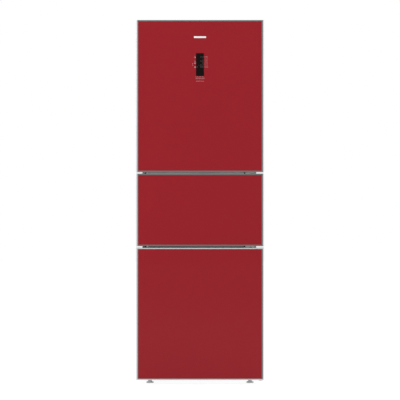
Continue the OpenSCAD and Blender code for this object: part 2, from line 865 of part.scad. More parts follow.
module glass_shelves() {
    color(clear_blue) for (i = [0:shelf_count])
        block([2 - shelf_x, y_shelf0 + 4, shelf_z(i) + 1], [shelf_x - 2, y_shelf1 - 3, shelf_z(i) + 1 + shelf_t]);
}

// Plastic edges of the shelves: a rounded nose in front and a raised stop behind
module shelf_trims() {
    nose = 6;
    gap = 0.1;
    color(white_abs) for (i = [0:shelf_count]) {
        z = shelf_z(i) + 1;
        difference() {
            union() {
                along_x(-shelf_x, shelf_x) {
                    translate([y_shelf0 + nose, z + shelf_t / 2]) circle(nose);
                    translate([y_shelf0 + nose, z - 1]) square([14, shelf_t + 3]);
                }
                along_x(-shelf_x, shelf_x) translate([y_shelf1 - 14, z - 1]) square([14, shelf_t + 3]);
                along_x(-shelf_x, shelf_x) translate([y_shelf1 - 2.5, z - 1]) square([2.5, shelf_t + 14]);
            }
            block([2 - shelf_x - gap, y_shelf0 + 4 - gap, z - gap / 10],
                [shelf_x - 2 + gap, y_shelf1 - 3 + gap, z + shelf_t + gap]);
            both_sides() block([wall_in - ledge_w - 1, y_shelf0 + 7, z - 20], [wall_in + 5, y_shelf1 + 60, z - 1]);
        }
    }
}

// Open-topped drawer with a thick front, a scooped grip and flutes
module drawer(x, y, z, h, low_r) {
    front_t = 9;
    r = 12;
    w = drawer_wall;
    grip_half = 70;
    grip_r = 10;
    flutes = 9;
    difference() {
        union() {
            intersection() {
                along_z(z, z + h) round_rect([-x, y[0]], [x, y[1]], r);
                along_y(y[0], y[1]) round_rect([-x, z], [x, z + 2 * h], low_r);
            }
            along_z(z + h - 5, z + h) round_rect([-x - 1.2, y[0]], [x + 1.2, y[1]], r);
        }
        intersection() {
            along_z(z + w, z + h + 1) round_rect([w - x, y[0] + front_t], [x - w, y[1] - w], r - w);
            along_y(y[0], y[1]) round_rect([w - x, z + w], [x - w, z + 2 * h], max(low_r - w, 1));
        }
        along_x(-grip_half, grip_half) translate([y[0] - 4, z + h - 30]) circle(grip_r);
        for (i = [0:flutes - 1], s = [-1, 1])
            translate([s * (grip_half + 18 + i * (x - grip_half - 40) / flutes), y[0] - 1.4, z + 14])
                cylinder(r = 2.4, h = h - 34, $fn = 24);
        for (s = [-1, 1], i = [0:2])
            translate([s * x, (y[0] + y[1]) / 2 + (i - 1) * (y[1] - y[0]) / 4, z + h * 0.62])
            rotate([0, 90, 0]) cylinder(r = 7, h = 3 * w, center = true);
    }
}

module crisper_drawer() {
    floor_z = frg_z[0] + liner_t + slide_clear;
    color(clear_blue) drawer(drawer_x, [y_shelf0 - 3, y_in - liner_t - 60], floor_z, crisper_h, liner_r);
}

module middle_drawer() {
    floor_z = mcomp_z[0] + liner_t + slide_clear;
    color(clear_blue) drawer(drawer_x, [drawer_front, y_in - liner_t - 30], floor_z, mid_drawer_h, liner_r);
}

module freezer_drawer_top() {
    color(clear_blue) drawer(drawer_x, [drawer_front, y_duct - 8], frz_top_z, frz_drawer_h, 3);
}

module freezer_drawer_middle() {
    color(clear_blue) drawer(drawer_x, [drawer_front, y_duct - 8], frz_mid_z, frz_drawer_h, 3);
}

module freezer_drawer_bottom() {
    color(clear_blue)
        drawer(drawer_x, [drawer_front, y_hump - liner_t - 5], frz_floor + slide_clear, low_drawer_h, liner_r);
}

// Freezer's cold air unit

module freezer_duct() {
    t = 3;
    x = wall_in - 0.5;
    z = [hump_top + liner_t + 1, frz_z[1] - liner_t - 0.5];
    ring_r = fan_r + 4;
    strut = 5;
    grille_x = 135;
    grille_half = 46;
    slots = 15;
    slot_pitch = 24;
    color(white_abs) {
        difference() {
            union() {
                along_y(y_duct, y_duct + t) round_rect([-x, z[0]], [x, z[1]], liner_r);
                both_sides() block([x - 18 - t, y_duct, z[0] + 16], [x - 18, y_in - liner_t, z[1] - 16]);
                translate([0, y_duct, fan_z]) rotate([-90, 0, 0]) cylinder(r = ring_r + 2.5, h = blade_d + 20);
            }
            translate([0, y_duct + t, fan_z]) rotate([-90, 0, 0]) cylinder(r = ring_r, h = 90);
            translate([0, y_duct - 1, fan_z]) rotate([-90, 0, 0]) fan_guard_gaps(t + 2);
            for (s = [-1, 1], k = [0:3])
                along_y(y_duct - 1, y_duct + t + 1)
                    round_rect([s * grille_x - grille_half, fan_z - 20 + 14 * k],
                               [s * grille_x + grille_half, fan_z - 14 + 14 * k], 2.9);
            for (k = [0:slots - 1]) translate([(k - (slots - 1) / 2) * slot_pitch, 0, 0])
                along_y(y_duct - 1, y_duct + t + 1) round_rect([-7, z[0] + 14], [7, z[0] + 30], 5);
        }
        for (a = [90, 210, 330]) translate([0, 0, fan_z]) rotate([0, a, 0])
            block([18, motor_y, -strut / 2], [ring_r + 1, motor_y + 4, strut / 2]);
        translate([0, motor_y, fan_z]) rotate([-90, 0, 0]) difference() {
            cylinder(r = 20, h = 4);
            translate([0, 0, -1]) cylinder(r = motor_r + 0.1, h = 6);
        }
    }
}

// Openings of the fan guard: three rings cut through by spokes
module fan_guard_gaps(h) {
    rings = [[10, 20], [23, 32], [35, fan_r]];
    spokes = 6;
    difference() {
        for (r = rings) difference() {
            cylinder(r = r[1], h = h);
            translate([0, 0, -1]) cylinder(r = r[0], h = h + 2);
        }
        for (i = [0:spokes - 1]) rotate([0, 0, i * 360 / spokes])
            translate([0, -1.5, -1]) cube([fan_r + 5, 3, h + 2]);
    }
}

module fan_blades() {
    hub_r = 13;
    blades = 7;
    pitch_angle = 38;
    blade_t = 1.8;
    color(dark) translate([0, fan_y, fan_z]) rotate([-90, 0, 0]) difference() {
        union() {
            cylinder(r = hub_r, h = blade_d);
            intersection() {
                cylinder(r = fan_r, h = blade_d);
                for (i = [0:blades - 1]) rotate([0, 0, i * 360 / blades])
                    translate([hub_r - 3, 0, blade_d / 2]) rotate([pitch_angle, 0, 0])
                        translate([0, -18, -blade_t / 2]) cube([fan_r, 36, blade_t]);
            }
        }
        translate([0, 0, 3]) cylinder(r = shaft_r + pin_clear, h = blade_d);
    }
}

module fan_motor() {
    color(steel) translate([0, motor_y, fan_z]) rotate([-90, 0, 0]) {
        cylinder(r = motor_r, h = 5);
        translate([0, 0, 4]) cylinder(r = 16, h = 14);
        translate([0, 0, 16]) cylinder(r = 9, h = 7);
        translate([0, 0, fan_y + 5 - motor_y]) cylinder(r = shaft_r, h = motor_y - fan_y - 3);
    }
}

// Finned coil behind the freezer's air duct
module evaporator() {
    rows = 6;
    fins = 24;
    half = 190;
    tube_r = 4;
    fin_over = 12;
    fan_gap = 29;
    y = [y_duct + 24, y_duct + 50];
    z0 = hump_top + liner_t + 34;
    pitch = (fan_z - fan_r - fan_gap - fin_over - z0) / (rows - 1);
    color(steel) {
        for (i = [0:fins - 1]) translate([-half + 12 + i * (2 * half - 24) / (fins - 1), 0, 0])
            block([-0.5, y_duct + 10, z0 - fin_over],
                  [0.5, y_in - liner_t - slide_clear, z0 + (rows - 1) * pitch + fin_over]);
        for (yy = y, r = [0:rows - 1]) translate([-half - 8, yy, z0 + r * pitch]) rotate([0, 90, 0])
            cylinder(r = tube_r, h = 2 * half + 16);
        for (yy = y, r = [0:rows - 2])
            translate([(r % 2 == 0 ? 1 : -1) * (half + 8), yy, z0 + (r + 0.5) * pitch])
            rotate([90, 0, 0]) rotate([0, 0, r % 2 == 0 ? -90 : 90]) rotate_extrude(angle = 180)
                translate([pitch / 2, 0]) circle(tube_r);
    }
}

// Doors

grip_y = [y_front + grip_setback, y_front + grip_setback + grip_w];
lip_w = 12;

// Cross-section of a side trim, a channel round the door's edge with a front lip of width face
module side_trim_profile(face) {
    difference() {
        round_rect([x_out - 30, y_front], [x_out, y_door_back], 2.4);
        translate([x_out - 40, y_glass]) square([40 - trim_wall, y_flange - y_glass]);
        translate([x_out - 31, y_front - 1]) square([31 - face, trim_wall + 2]);
        translate([x_out - 31, y_flange - 1]) square([31 - lip_w, trim_wall + 2]);
    }
}

// Outside of the grip's channel
module grip_outer() {
    round_rect([-x_out, grip_y[0] - trim_wall], [grip_depth + trim_wall - x_out, grip_y[1] + trim_wall], 4);
}

// Cross-section of the left side trim, with the channel that the fingers pull on
module left_trim_profile() {
    difference() {
        union() {
            mirror([1, 0]) side_trim_profile(grip_face);
            grip_outer();
        }
        round_rect([-x_out - 10, grip_y[0]], [grip_depth - x_out, grip_y[1]], 3);
    }
}

// Cross-section of an end cap, between the trims
module cap_profile() {
    difference() {
        union() {
            translate([trim_wall - x_out, y_glass]) square([body_w - 2 * trim_wall, y_flange - y_glass]);
            translate([grip_face - x_out, y_front]) square([body_w - grip_face - trim_face, trim_wall + 1]);
            translate([lip_w - x_out, y_flange - 1]) square([body_w - 2 * lip_w, trim_wall + 1]);
        }
        grip_outer();
    }
}

// Skirt that plugs an end cap into the door
module skirt_profile() {
    round_frame([door_x0 + 0.3, y_glass_back + 0.3], [door_x1 - 0.3, y_flange - liner_t - 0.3], 3, 1.8);
}

// Step along the top of the upper door, behind its raised front
module door_step() {
    block([-x_out - 1, y_front + strip_t, step_z], [x_out + 1, y_door_back + 1, up_z[1] + 1]);
}

module door_trims(z) {
    color(steel) along_z(z[0], z[1]) {
        side_trim_profile(trim_face);
        left_trim_profile();
    }
}

// Socket for a hinge pin, whose mouth is at z and which runs up or down by dir
module pin_boss(z, dir) {
    translate([hinge_x, hinge_y, z + (dir > 0 ? 0 : -bore_len - 3)]) cylinder(r = boss_r, h = bore_len + 3);
}

module pin_bore(z, dir) {
    translate([hinge_x, hinge_y, z + (dir > 0 ? -1 : -bore_len)]) cylinder(r = bore_r, h = bore_len + 1);
}

module bottom_cap(z) {
    color(cap_grey) difference() {
        union() {
            along_z(z, z + cap_face) cap_profile();
            along_z(z + cap_face - eps, z + cap_face + cap_skirt) skirt_profile();
            pin_boss(z, 1);
        }
        pin_bore(z, 1);
    }
}

module top_cap(z) {
    color(cap_grey) difference() {
        union() {
            along_z(z - cap_face, z) cap_profile();
            along_z(z - cap_face - cap_skirt, z - cap_face + eps) skirt_profile();
            pin_boss(z, -1);
        }
        pin_bore(z, -1);
    }
}

// Cap of the upper door, which steps down behind the raised front
module stepped_cap() {
    color(cap_grey) {
        difference() {
            union() {
                along_z(step_z - cap_face, up_z[1]) difference() {
                    cap_profile();
                    translate([-x_out, y_front - 1]) square([body_w, y_glass_back - y_front + 1]);
                }
                along_z(up_z[1] - cap_face, up_z[1]) cap_profile();
                along_z(step_z - cap_face - cap_skirt, step_z - cap_face + eps) skirt_profile();
                pin_boss(step_z, -1);
            }
            door_step();
            pin_bore(step_z, -1);
        }
    }
}

// Pane of one door, behind the lips of its trims
module door_glass(z) {
    edge = trim_wall + 0.4;
    block([edge - x_out, y_glass, z[0] + cap_face], [x_out - edge, y_glass_back, z[1] - cap_face]);
}

// Space inside a door for the foam, grown by g towards the cabinet
module door_form(z, comp, depth, g) {
    dz = [comp[0] + dyke_gap, comp[1] - dyke_gap];
    difference() {
        union() {
            block([door_x0, y_glass_back, z[0] + cap_face], [door_x1, y_flange - liner_t + g, z[1] - cap_face]);
            along_y(y_flange - 10, y_door_back + depth - liner_t + g)
                round_rect([liner_t - g - dyke_x, dz[0] + liner_t - g],
                    [dyke_x - liner_t + g, dz[1] - liner_t + g], dyke_r);
        }
        along_y(y_flange - recess_d - liner_t + g, y_cab + 2 * depth)
            round_rect([dyke_w + g - liner_t - dyke_x, dz[0] + dyke_w + g - liner_t],
                       [dyke_x - dyke_w - g + liner_t, dz[1] - dyke_w - g + liner_t], dyke_r);
    }
}

module door_foam(z, comp, depth) {
    color(foam) difference() {
        door_form(z, comp, depth, 0);
        along_z(z[0], z[0] + cap_face + cap_skirt) skirt_profile();
        along_z(z[1] - cap_face - cap_skirt, z[1]) skirt_profile();
        pin_boss(z[0], 1);
        pin_boss(z[1], -1);
    }
}

module door_liner(z, comp, depth) {
    difference() {
        door_form(z, comp, depth, liner_t);
        door_form(z, comp, depth, 0);
        block([-x_out, y_front, z[0]], [x_out, y_glass_back + 8, z[1]]);
    }
}

// Magnetic seal: a foot on the liner, a soft bellows and the magnet's sleeve
module door_seal(z) {
    x = x_out - seal_inset - 2;
    y = [y_flange, y_cab - slide_clear];
    a = [-x, z[0] + seal_inset];
    b = [x, z[1] - seal_inset];
    neck = 3;
    color(cap_grey) {
        along_y(y[0], y[0] + 3) round_frame(a, b, 8, seal_w);
        along_y(y[0] + 3 - eps, y[1] - 4 + eps) difference() {
            round_rect(a + [neck, neck], b - [neck, neck], 6);
            round_rect(a + [seal_w - neck, seal_w - neck], b - [seal_w - neck, seal_w - neck], 2);
        }
        along_y(y[1] - 4, y[1]) round_frame(a, b, 8, seal_w);
    }
}

up_rear = [up_z[0], step_z];
up_dyke = 45;
low_dyke = 30;

module upper_door_glass() {
    color(red_glass) difference() {
        door_glass(up_z);
        along_y(y_front - 1, y_glass_back + 1) display_outline(0.2);
    }
}

module upper_door_trims() {
    difference() {
        door_trims(up_z);
        door_step();
    }
}

module upper_door_caps() {
    bottom_cap(up_z[0]);
    stepped_cap();
}

module upper_door_foam() {
    difference() {
        door_foam(up_rear, frg_z, up_dyke);
        along_y(y_glass_back - 1, y_glass_back + disp_body_t) display_outline(4);
    }
}

// The liner's lugs carry the door bins
module upper_door_liner() {
    color(white_abs) {
        door_liner(up_rear, frg_z, up_dyke);
        for (i = [0:2]) both_sides() translate([bin_lug_x, bin_lug_y, bin_z(i) + bin_lug_h]) rotate([0, 90, 0])
            cylinder(r = lug_r, h = dyke_x - dyke_w - bin_lug_x + liner_t / 2);
    }
}

module upper_door_seal() {
    door_seal(up_rear);
}

// Outline of the display window, grown by g
module display_outline(g) {
    round_rect([-disp_w / 2 - g, disp_z - disp_h / 2 - g], [disp_w / 2 + g, disp_z + disp_h / 2 + g], 2 + g);
}

module display_panel() {
    color(dark) {
        along_y(y_glass, y_glass_back + eps) display_outline(0);
        along_y(y_glass_back, y_glass_back + disp_body_t) display_outline(4);
    }
}

module middle_door_glass() {
    color(red_glass) door_glass(mid_z);
}

module middle_door_trims() {
    door_trims(mid_z);
}

module middle_door_caps() {
    bottom_cap(mid_z[0]);
    top_cap(mid_z[1]);
}

module middle_door_foam() {
    door_foam(mid_z, mcomp_z, low_dyke);
}

module middle_door_liner() {
    color(white_abs) door_liner(mid_z, mcomp_z, low_dyke);
}

module middle_door_seal() {
    door_seal(mid_z);
}

module lower_door_glass() {
    color(red_glass) door_glass(low_z);
}

module lower_door_trims() {
    door_trims(low_z);
}

module lower_door_caps() {
    bottom_cap(low_z[0]);
    top_cap(low_z[1]);
}

module lower_door_foam() {
    door_foam(low_z, frz_z, low_dyke);
}

module lower_door_liner() {
    color(white_abs) door_liner(low_z, frz_z, low_dyke);
}

module lower_door_seal() {
    door_seal(low_z);
}

// Door bins

recess_z = [frg_z[0] + dyke_gap + dyke_w, frg_z[1] - dyke_gap - dyke_w];
bin_y0 = y_flange - recess_d + 0.8;
bin_lug_y = bin_y0 + 34;
bin_lug_h = 54;
bin_lug_x = bin_x - 5;
bin_pitch = (recess_z[1] - recess_z[0] - bin_h - bin_lift - 14) / 2;
function bin_z(i) = recess_z[0] + 7 + i * bin_pitch;

// Lift-off bin that hangs on the lugs, with a lower front wall
module bin(i) {
    z = bin_z(i);
    w = drawer_wall;
    y1 = bin_y0 + bin_d;
    pad_half = lug_r + 4;
    pad_t = 8;
    front_h = bin_h - 22;
    cut_r = 22;
    difference() {
        union() {
            difference() {
                along_z(z, z + bin_h) round_rect([-bin_x, bin_y0], [bin_x, y1], 10);
                along_z(z + w, z + bin_h + 1) round_rect([w - bin_x, bin_y0 + w], [bin_x - w, y1 - w], 8);
            }
            both_sides() block([bin_x - pad_t, bin_lug_y - pad_half, z], [bin_x, bin_lug_y + pad_half, z + bin_h]);
        }
        along_x(-bin_x - 1, bin_x + 1) {
            translate([y1 - cut_r, z + front_h]) square([cut_r + 1, bin_h]);
            translate([y1 - cut_r, z + front_h + cut_r]) circle(cut_r);
        }
        both_sides() {
            block([bin_lug_x - slide_clear, bin_lug_y - lug_r - slide_clear, z - 1],
                  [bin_x + 1, bin_lug_y + lug_r + slide_clear, z + bin_lug_h]);
            translate([bin_lug_x - slide_clear, bin_lug_y, z + bin_lug_h]) rotate([0, 90, 0])
                cylinder(r = lug_r + slide_clear, h = 10);
        }
    }
}

module bin_bottom() {
    color(clear_blue) bin(0);
}

module bin_middle() {
    color(clear_blue) bin(1);
}

module bin_top() {
    color(clear_blue) bin(2);
}

cabinet_shell();
back_panel();
wall_insulation();
inner_insulation();
fridge_liner();
middle_liner();
freezer_liner();
crossbars();
top_hinge();
middle_hinges();
bottom_hinge();
hinge_screws();
hinge_cover();
gap_caps();
base_tray();
compressor();
compressor_mounts();
refrigerant_pipes();
evaporation_tray();
rear_cover();
mains_inlet();
fridge_duct();
freezer_duct();
fan_motor();
evaporator();
lamp_lens();
glass_shelves();
shelf_trims();
fan_blades();
crisper_drawer();
middle_drawer();
freezer_drawer_top();
freezer_drawer_middle();
freezer_drawer_bottom();
roller_left();
roller_right();
foot_left();
foot_right();
bin_top();
bin_middle();
bin_bottom();
upper_door_glass();
upper_door_trims();
upper_door_caps();
upper_door_foam();
upper_door_liner();
upper_door_seal();
display_panel();
middle_door_glass();
middle_door_trims();
middle_door_caps();
middle_door_foam();
middle_door_liner();
middle_door_seal();
lower_door_glass();
lower_door_trims();
lower_door_caps();
lower_door_foam();
lower_door_liner();
lower_door_seal();
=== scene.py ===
import math

import bmesh
import bpy
from mathutils import Matrix, Vector


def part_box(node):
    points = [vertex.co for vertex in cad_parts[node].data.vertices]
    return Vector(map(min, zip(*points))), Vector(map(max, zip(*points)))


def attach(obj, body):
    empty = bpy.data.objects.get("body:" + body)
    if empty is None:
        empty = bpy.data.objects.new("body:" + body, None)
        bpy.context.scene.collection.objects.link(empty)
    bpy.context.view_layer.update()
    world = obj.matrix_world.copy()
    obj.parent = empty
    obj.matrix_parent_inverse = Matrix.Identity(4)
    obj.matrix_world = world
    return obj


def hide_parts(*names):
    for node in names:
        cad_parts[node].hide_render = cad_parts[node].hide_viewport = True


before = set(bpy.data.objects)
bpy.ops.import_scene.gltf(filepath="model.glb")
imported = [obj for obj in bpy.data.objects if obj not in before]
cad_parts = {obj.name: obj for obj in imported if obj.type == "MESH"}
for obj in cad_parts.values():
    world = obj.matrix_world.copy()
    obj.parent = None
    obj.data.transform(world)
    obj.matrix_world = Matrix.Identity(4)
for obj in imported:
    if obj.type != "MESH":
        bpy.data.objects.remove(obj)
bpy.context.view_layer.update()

print("frame loaded:", len(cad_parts), "nodes")

# Camera: straight at the doors from far away, level with the middle of their stack
camera = {"distance": 8.0, "frameHeight": 1.859, "sensor": 36.0}

doorLow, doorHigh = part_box("upper_door_trims")
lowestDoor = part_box("lower_door_trims")[0]
doorFace = doorLow.y
doorMiddle = (doorHigh.z + lowestDoor.z) / 2

cameraData = bpy.data.cameras.new("photoCamera")
cameraData.sensor_width = camera["sensor"]
cameraData.lens = camera["sensor"] * (camera["distance"] + doorFace) / camera["frameHeight"]
cameraObject = bpy.data.objects.new("photoCamera", cameraData)
cameraObject.location = (0, -camera["distance"], doorMiddle)
cameraObject.rotation_euler = (math.radians(90), 0, 0)
bpy.context.scene.collection.objects.link(cameraObject)
bpy.context.scene.camera = cameraObject
bpy.context.scene.view_settings.view_transform = "Standard"
print("camera set at", round(doorMiddle, 3), "m")


# Helpers for node trees
def linkNodes(tree, *pairs):
    for source, target in pairs:
        tree.links.new(source, target)


def feedSlot(tree, slot, value):
    # An output is linked to the slot, a number is written into it
    if hasattr(value, "links"):
        tree.links.new(value, slot)
    else:
        slot.default_value = value


def addMath(tree, operation, first, second, clamp=False):
    node = tree.nodes.new("ShaderNodeMath")
    node.operation = operation
    node.use_clamp = clamp
    feedSlot(tree, node.inputs[0], first)
    feedSlot(tree, node.inputs[1], second)
    return node.outputs[0]


def addNoise(tree, vector, scale, detail=2.0, roughness=0.5):
    node = tree.nodes.new("ShaderNodeTexNoise")
    node.inputs["Detail"].default_value = detail
    node.inputs["Roughness"].default_value = roughness
    tree.links.new(vector, node.inputs["Vector"])
    feedSlot(tree, node.inputs["Scale"], scale)
    return node.outputs["Fac"]


def mapRange(tree, value, low, high, fromLow=0.0, fromHigh=1.0):
    node = tree.nodes.new("ShaderNodeMapRange")
    node.inputs["From Min"].default_value = fromLow
    node.inputs["From Max"].default_value = fromHigh
    node.inputs["To Min"].default_value = low
    node.inputs["To Max"].default_value = high
    tree.links.new(value, node.inputs["Value"])
    return node.outputs["Result"]


def addRayMask(tree, *rays):
    # 1 where the light path is one of these kinds of ray, otherwise 0
    path = tree.nodes.new("ShaderNodeLightPath")
    mask = path.outputs[rays[0]]
    for ray in rays[1:]:
        mask = addMath(tree, "MAXIMUM", mask, path.outputs[ray])
    return mask


# Studio: white all round for the camera and for reflections, plain soft light on the object
studio = {
    "ambient": 0.62,
    "floorColor": (0.86, 0.86, 0.855, 1),
    "floorSeen": (0.42, 0.42, 0.42, 1),
    "floorGlow": 0.84,
    "floorSize": 30.0,
    "aimHeight": 0.85,
    "lamps": {
        "keyLamp": {"place": (-3.3, -4.1, 3.5), "size": 4.4, "watts": 132},
        "fillLamp": {"place": (3.8, -3.4, 2.2), "size": 4.0, "watts": 32},
        "topLamp": {"place": (0.2, 0.6, 4.8), "size": 3.6, "watts": 18},
        "backLamp": {"place": (1.5, 4.4, 2.8), "size": 4.0, "watts": 44},
    },
}


def makeWorld():
    world = bpy.data.worlds.new("studioWorld")
    world.use_nodes = True
    bpy.context.scene.world = world
    tree = world.node_tree
    tree.nodes.clear()
    plain = tree.nodes.new("ShaderNodeBackground")
    plain.inputs["Strength"].default_value = studio["ambient"]
    white = tree.nodes.new("ShaderNodeBackground")
    for background in (plain, white):
        background.inputs["Color"].default_value = (1, 1, 1, 1)
    seen = addRayMask(tree, "Is Camera Ray", "Is Glossy Ray", "Is Transmission Ray")
    mix = tree.nodes.new("ShaderNodeMixShader")
    output = tree.nodes.new("ShaderNodeOutputWorld")
    linkNodes(tree,
              (seen, mix.inputs["Fac"]),
              (plain.outputs[0], mix.inputs[1]),
              (white.outputs[0], mix.inputs[2]),
              (mix.outputs[0], output.inputs["Surface"]))


def makeLamps():
    for name, lamp in studio["lamps"].items():
        data = bpy.data.lights.new(name, "AREA")
        data.shape = "DISK"
        data.size = lamp["size"]
        data.energy = lamp["watts"]
        lampObject = bpy.data.objects.new(name, data)
        lampObject.location = lamp["place"]
        aim = Vector((0, 0, studio["aimHeight"])) - Vector(lamp["place"])
        lampObject.rotation_euler = aim.to_track_quat("-Z", "Y").to_euler()
        lampObject.visible_camera = False
        bpy.context.scene.collection.objects.link(lampObject)


def makeFloorPaint():
    material = bpy.data.materials.new("studioFloorPaint")
    material.use_nodes = True
    tree = material.node_tree
    tree.nodes.clear()
    paint = tree.nodes.new("ShaderNodeBsdfDiffuse")
    paint.inputs["Color"].default_value = studio["floorColor"]
    shadowed = tree.nodes.new("ShaderNodeBsdfDiffuse")
    shadowed.inputs["Color"].default_value = studio["floorSeen"]
    glow = tree.nodes.new("ShaderNodeEmission")
    glow.inputs["Strength"].default_value = studio["floorGlow"]
    both = tree.nodes.new("ShaderNodeAddShader")
    seen = addRayMask(tree, "Is Camera Ray", "Is Glossy Ray")
    mix = tree.nodes.new("ShaderNodeMixShader")
    output = tree.nodes.new("ShaderNodeOutputMaterial")
    linkNodes(tree,
              (seen, mix.inputs["Fac"]),
              (shadowed.outputs[0], both.inputs[0]),
              (glow.outputs[0], both.inputs[1]),
              (paint.outputs[0], mix.inputs[1]),
              (both.outputs[0], mix.inputs[2]),
              (mix.outputs[0], output.inputs["Surface"]))
    return material


def makeFloor():
    bm = bmesh.new()
    bmesh.ops.create_grid(bm, x_segments=2, y_segments=2, size=studio["floorSize"] / 2)
    mesh = bpy.data.meshes.new("studioFloor")
    bm.to_mesh(mesh)
    bm.free()
    floor = bpy.data.objects.new("studioFloor", mesh)
    bpy.context.scene.collection.objects.link(floor)
    floor.data.materials.append(makeFloorPaint())


makeWorld()
makeLamps()
makeFloor()
print("studio made")


# Shared surface effects, each a node group: noise as (detail, roughness), ranges as (from, to)
effects = {
    "grainNoise": (3.0, 0.6),
    "brushNoise": (4.0, 0.65),
    "peelNoise": (1.5, 0.45), "broadScale": 3.0, "broadNoise": (2.0, 0.5),
    "smearNoise": (5.0, 0.62), "smearRange": (0.42, 0.78),
    "speckScale": 420.0, "speckNoise": (4.0, 0.7), "upwardRange": (0.35, 1.0),
}


def makeGroup(name, inputs, outputs):
    group = bpy.data.node_groups.new(name, "ShaderNodeTree")
    for label, kind, value in inputs:
        socket = group.interface.new_socket(label, in_out="INPUT", socket_type=kind)
        if value is not None:
            socket.default_value = value
    for label, kind in outputs:
        group.interface.new_socket(label, in_out="OUTPUT", socket_type=kind)
    return group, group.nodes.new("NodeGroupInput"), group.nodes.new("NodeGroupOutput")


def makeGrainGroup():
    group, start, end = makeGroup(
        "mouldedGrain",
        [("Vector", "NodeSocketVector", None), ("Scale", "NodeSocketFloat", 1400.0),
         ("Pits", "NodeSocketFloat", 0.5)],
        [("Height", "NodeSocketFloat"), ("Mask", "NodeSocketFloat")])
    fine = addNoise(group, start.outputs["Vector"], start.outputs["Scale"], *effects["grainNoise"])
    cells = group.nodes.new("ShaderNodeTexVoronoi")
    cells.feature = "SMOOTH_F1"
    linkNodes(group, (start.outputs["Vector"], cells.inputs["Vector"]),
              (start.outputs["Scale"], cells.inputs["Scale"]))
    pits = addMath(group, "MULTIPLY", cells.outputs["Distance"], start.outputs["Pits"])
    height = addMath(group, "ADD", fine, pits)
    linkNodes(group, (height, end.inputs["Height"]), (fine, end.inputs["Mask"]))
    return group


def makeBrushGroup():
    group, start, end = makeGroup(
        "brushedLines",
        [("Vector", "NodeSocketVector", None), ("Stretch", "NodeSocketVector", (900, 900, 6)),
         ("Contrast", "NodeSocketFloat", 1.6)],
        [("Height", "NodeSocketFloat"), ("Mask", "NodeSocketFloat")])
    stretch = group.nodes.new("ShaderNodeVectorMath")
    stretch.operation = "MULTIPLY"
    linkNodes(group, (start.outputs["Vector"], stretch.inputs[0]),
              (start.outputs["Stretch"], stretch.inputs[1]))
    lines = addNoise(group, stretch.outputs[0], 1.0, *effects["brushNoise"])
    centred = addMath(group, "SUBTRACT", lines, 0.5)
    spread = addMath(group, "MULTIPLY", centred, start.outputs["Contrast"])
    mask = addMath(group, "ADD", spread, 0.5, clamp=True)
    linkNodes(group, (lines, end.inputs["Height"]), (mask, end.inputs["Mask"]))
    return group


def makePeelGroup():
    group, start, end = makeGroup(
        "paintPeel",
        [("Vector", "NodeSocketVector", None), ("Scale", "NodeSocketFloat", 260.0)],
        [("Height", "NodeSocketFloat"), ("Mask", "NodeSocketFloat")])
    peel = addNoise(group, start.outputs["Vector"], start.outputs["Scale"], *effects["peelNoise"])
    broad = addNoise(group, start.outputs["Vector"], effects["broadScale"], *effects["broadNoise"])
    linkNodes(group, (peel, end.inputs["Height"]), (broad, end.inputs["Mask"]))
    return group


def makeHandlingGroup():
    group, start, end = makeGroup(
        "handlingFilm",
        [("Vector", "NodeSocketVector", None), ("Scale", "NodeSocketFloat", 9.0),
         ("Amount", "NodeSocketFloat", 1.0)],
        [("Mask", "NodeSocketFloat")])
    smears = addNoise(group, start.outputs["Vector"], start.outputs["Scale"],
                      *effects["smearNoise"])
    worn = mapRange(group, smears, 0.0, 1.0, *effects["smearRange"])
    mask = addMath(group, "MULTIPLY", worn, start.outputs["Amount"], clamp=True)
    group.links.new(mask, end.inputs["Mask"])
    return group


def makeDustGroup():
    group, start, end = makeGroup(
        "settledDust",
        [("Vector", "NodeSocketVector", None), ("Amount", "NodeSocketFloat", 0.3)],
        [("Mask", "NodeSocketFloat")])
    geometry = group.nodes.new("ShaderNodeNewGeometry")
    split = group.nodes.new("ShaderNodeSeparateXYZ")
    group.links.new(geometry.outputs["Normal"], split.inputs["Vector"])
    upward = mapRange(group, split.outputs["Z"], 0.0, 1.0, *effects["upwardRange"])
    specks = addNoise(group, start.outputs["Vector"], effects["speckScale"], *effects["speckNoise"])
    loose = addMath(group, "MULTIPLY", upward, specks)
    mask = addMath(group, "MULTIPLY", loose, start.outputs["Amount"], clamp=True)
    group.links.new(mask, end.inputs["Mask"])
    return group


groups = {
    "grain": makeGrainGroup(),
    "brush": makeBrushGroup(),
    "peel": makePeelGroup(),
    "handling": makeHandlingGroup(),
    "dust": makeDustGroup(),
}
print("shader groups made:", ", ".join(groups))


# Finishes: colour, roughness and relief of every material come from here
dustColor = (0.42, 0.4, 0.37)


def placeGroup(tree, name, coords, values):
    node = tree.nodes.new("ShaderNodeGroup")
    node.node_tree = groups[name]
    tree.links.new(coords, node.inputs["Vector"])
    for label, value in values.items():
        node.inputs[label].default_value = value
    return node


def mixColors(tree, mask, first, second):
    node = tree.nodes.new("ShaderNodeMix")
    node.data_type = "RGBA"
    colorSlots = [slot for slot in node.inputs if slot.type == "RGBA"]
    facSlot = next(slot for slot in node.inputs if slot.type == "VALUE")
    tree.links.new(mask, facSlot)
    for slot, value in zip(colorSlots, (first, second)):
        feedSlot(tree, slot, value if hasattr(value, "links") else (*value, 1))
    return next(slot for slot in node.outputs if slot.type == "RGBA")


def addBump(tree, shader, height, strength, distance):
    node = tree.nodes.new("ShaderNodeBump")
    node.inputs["Strength"].default_value = strength
    node.inputs["Distance"].default_value = distance
    tree.links.new(height, node.inputs["Height"])
    tree.links.new(node.outputs["Normal"], shader.inputs["Normal"])


def startMaterial(name, constants):
    material = bpy.data.materials.new(name)
    material.use_nodes = True
    tree = material.node_tree
    shader = tree.nodes["Principled BSDF"]
    for label, value in constants.items():
        shader.inputs[label].default_value = value
    coords = tree.nodes.new("ShaderNodeTexCoord").outputs["Object"]
    return material, tree, shader, coords


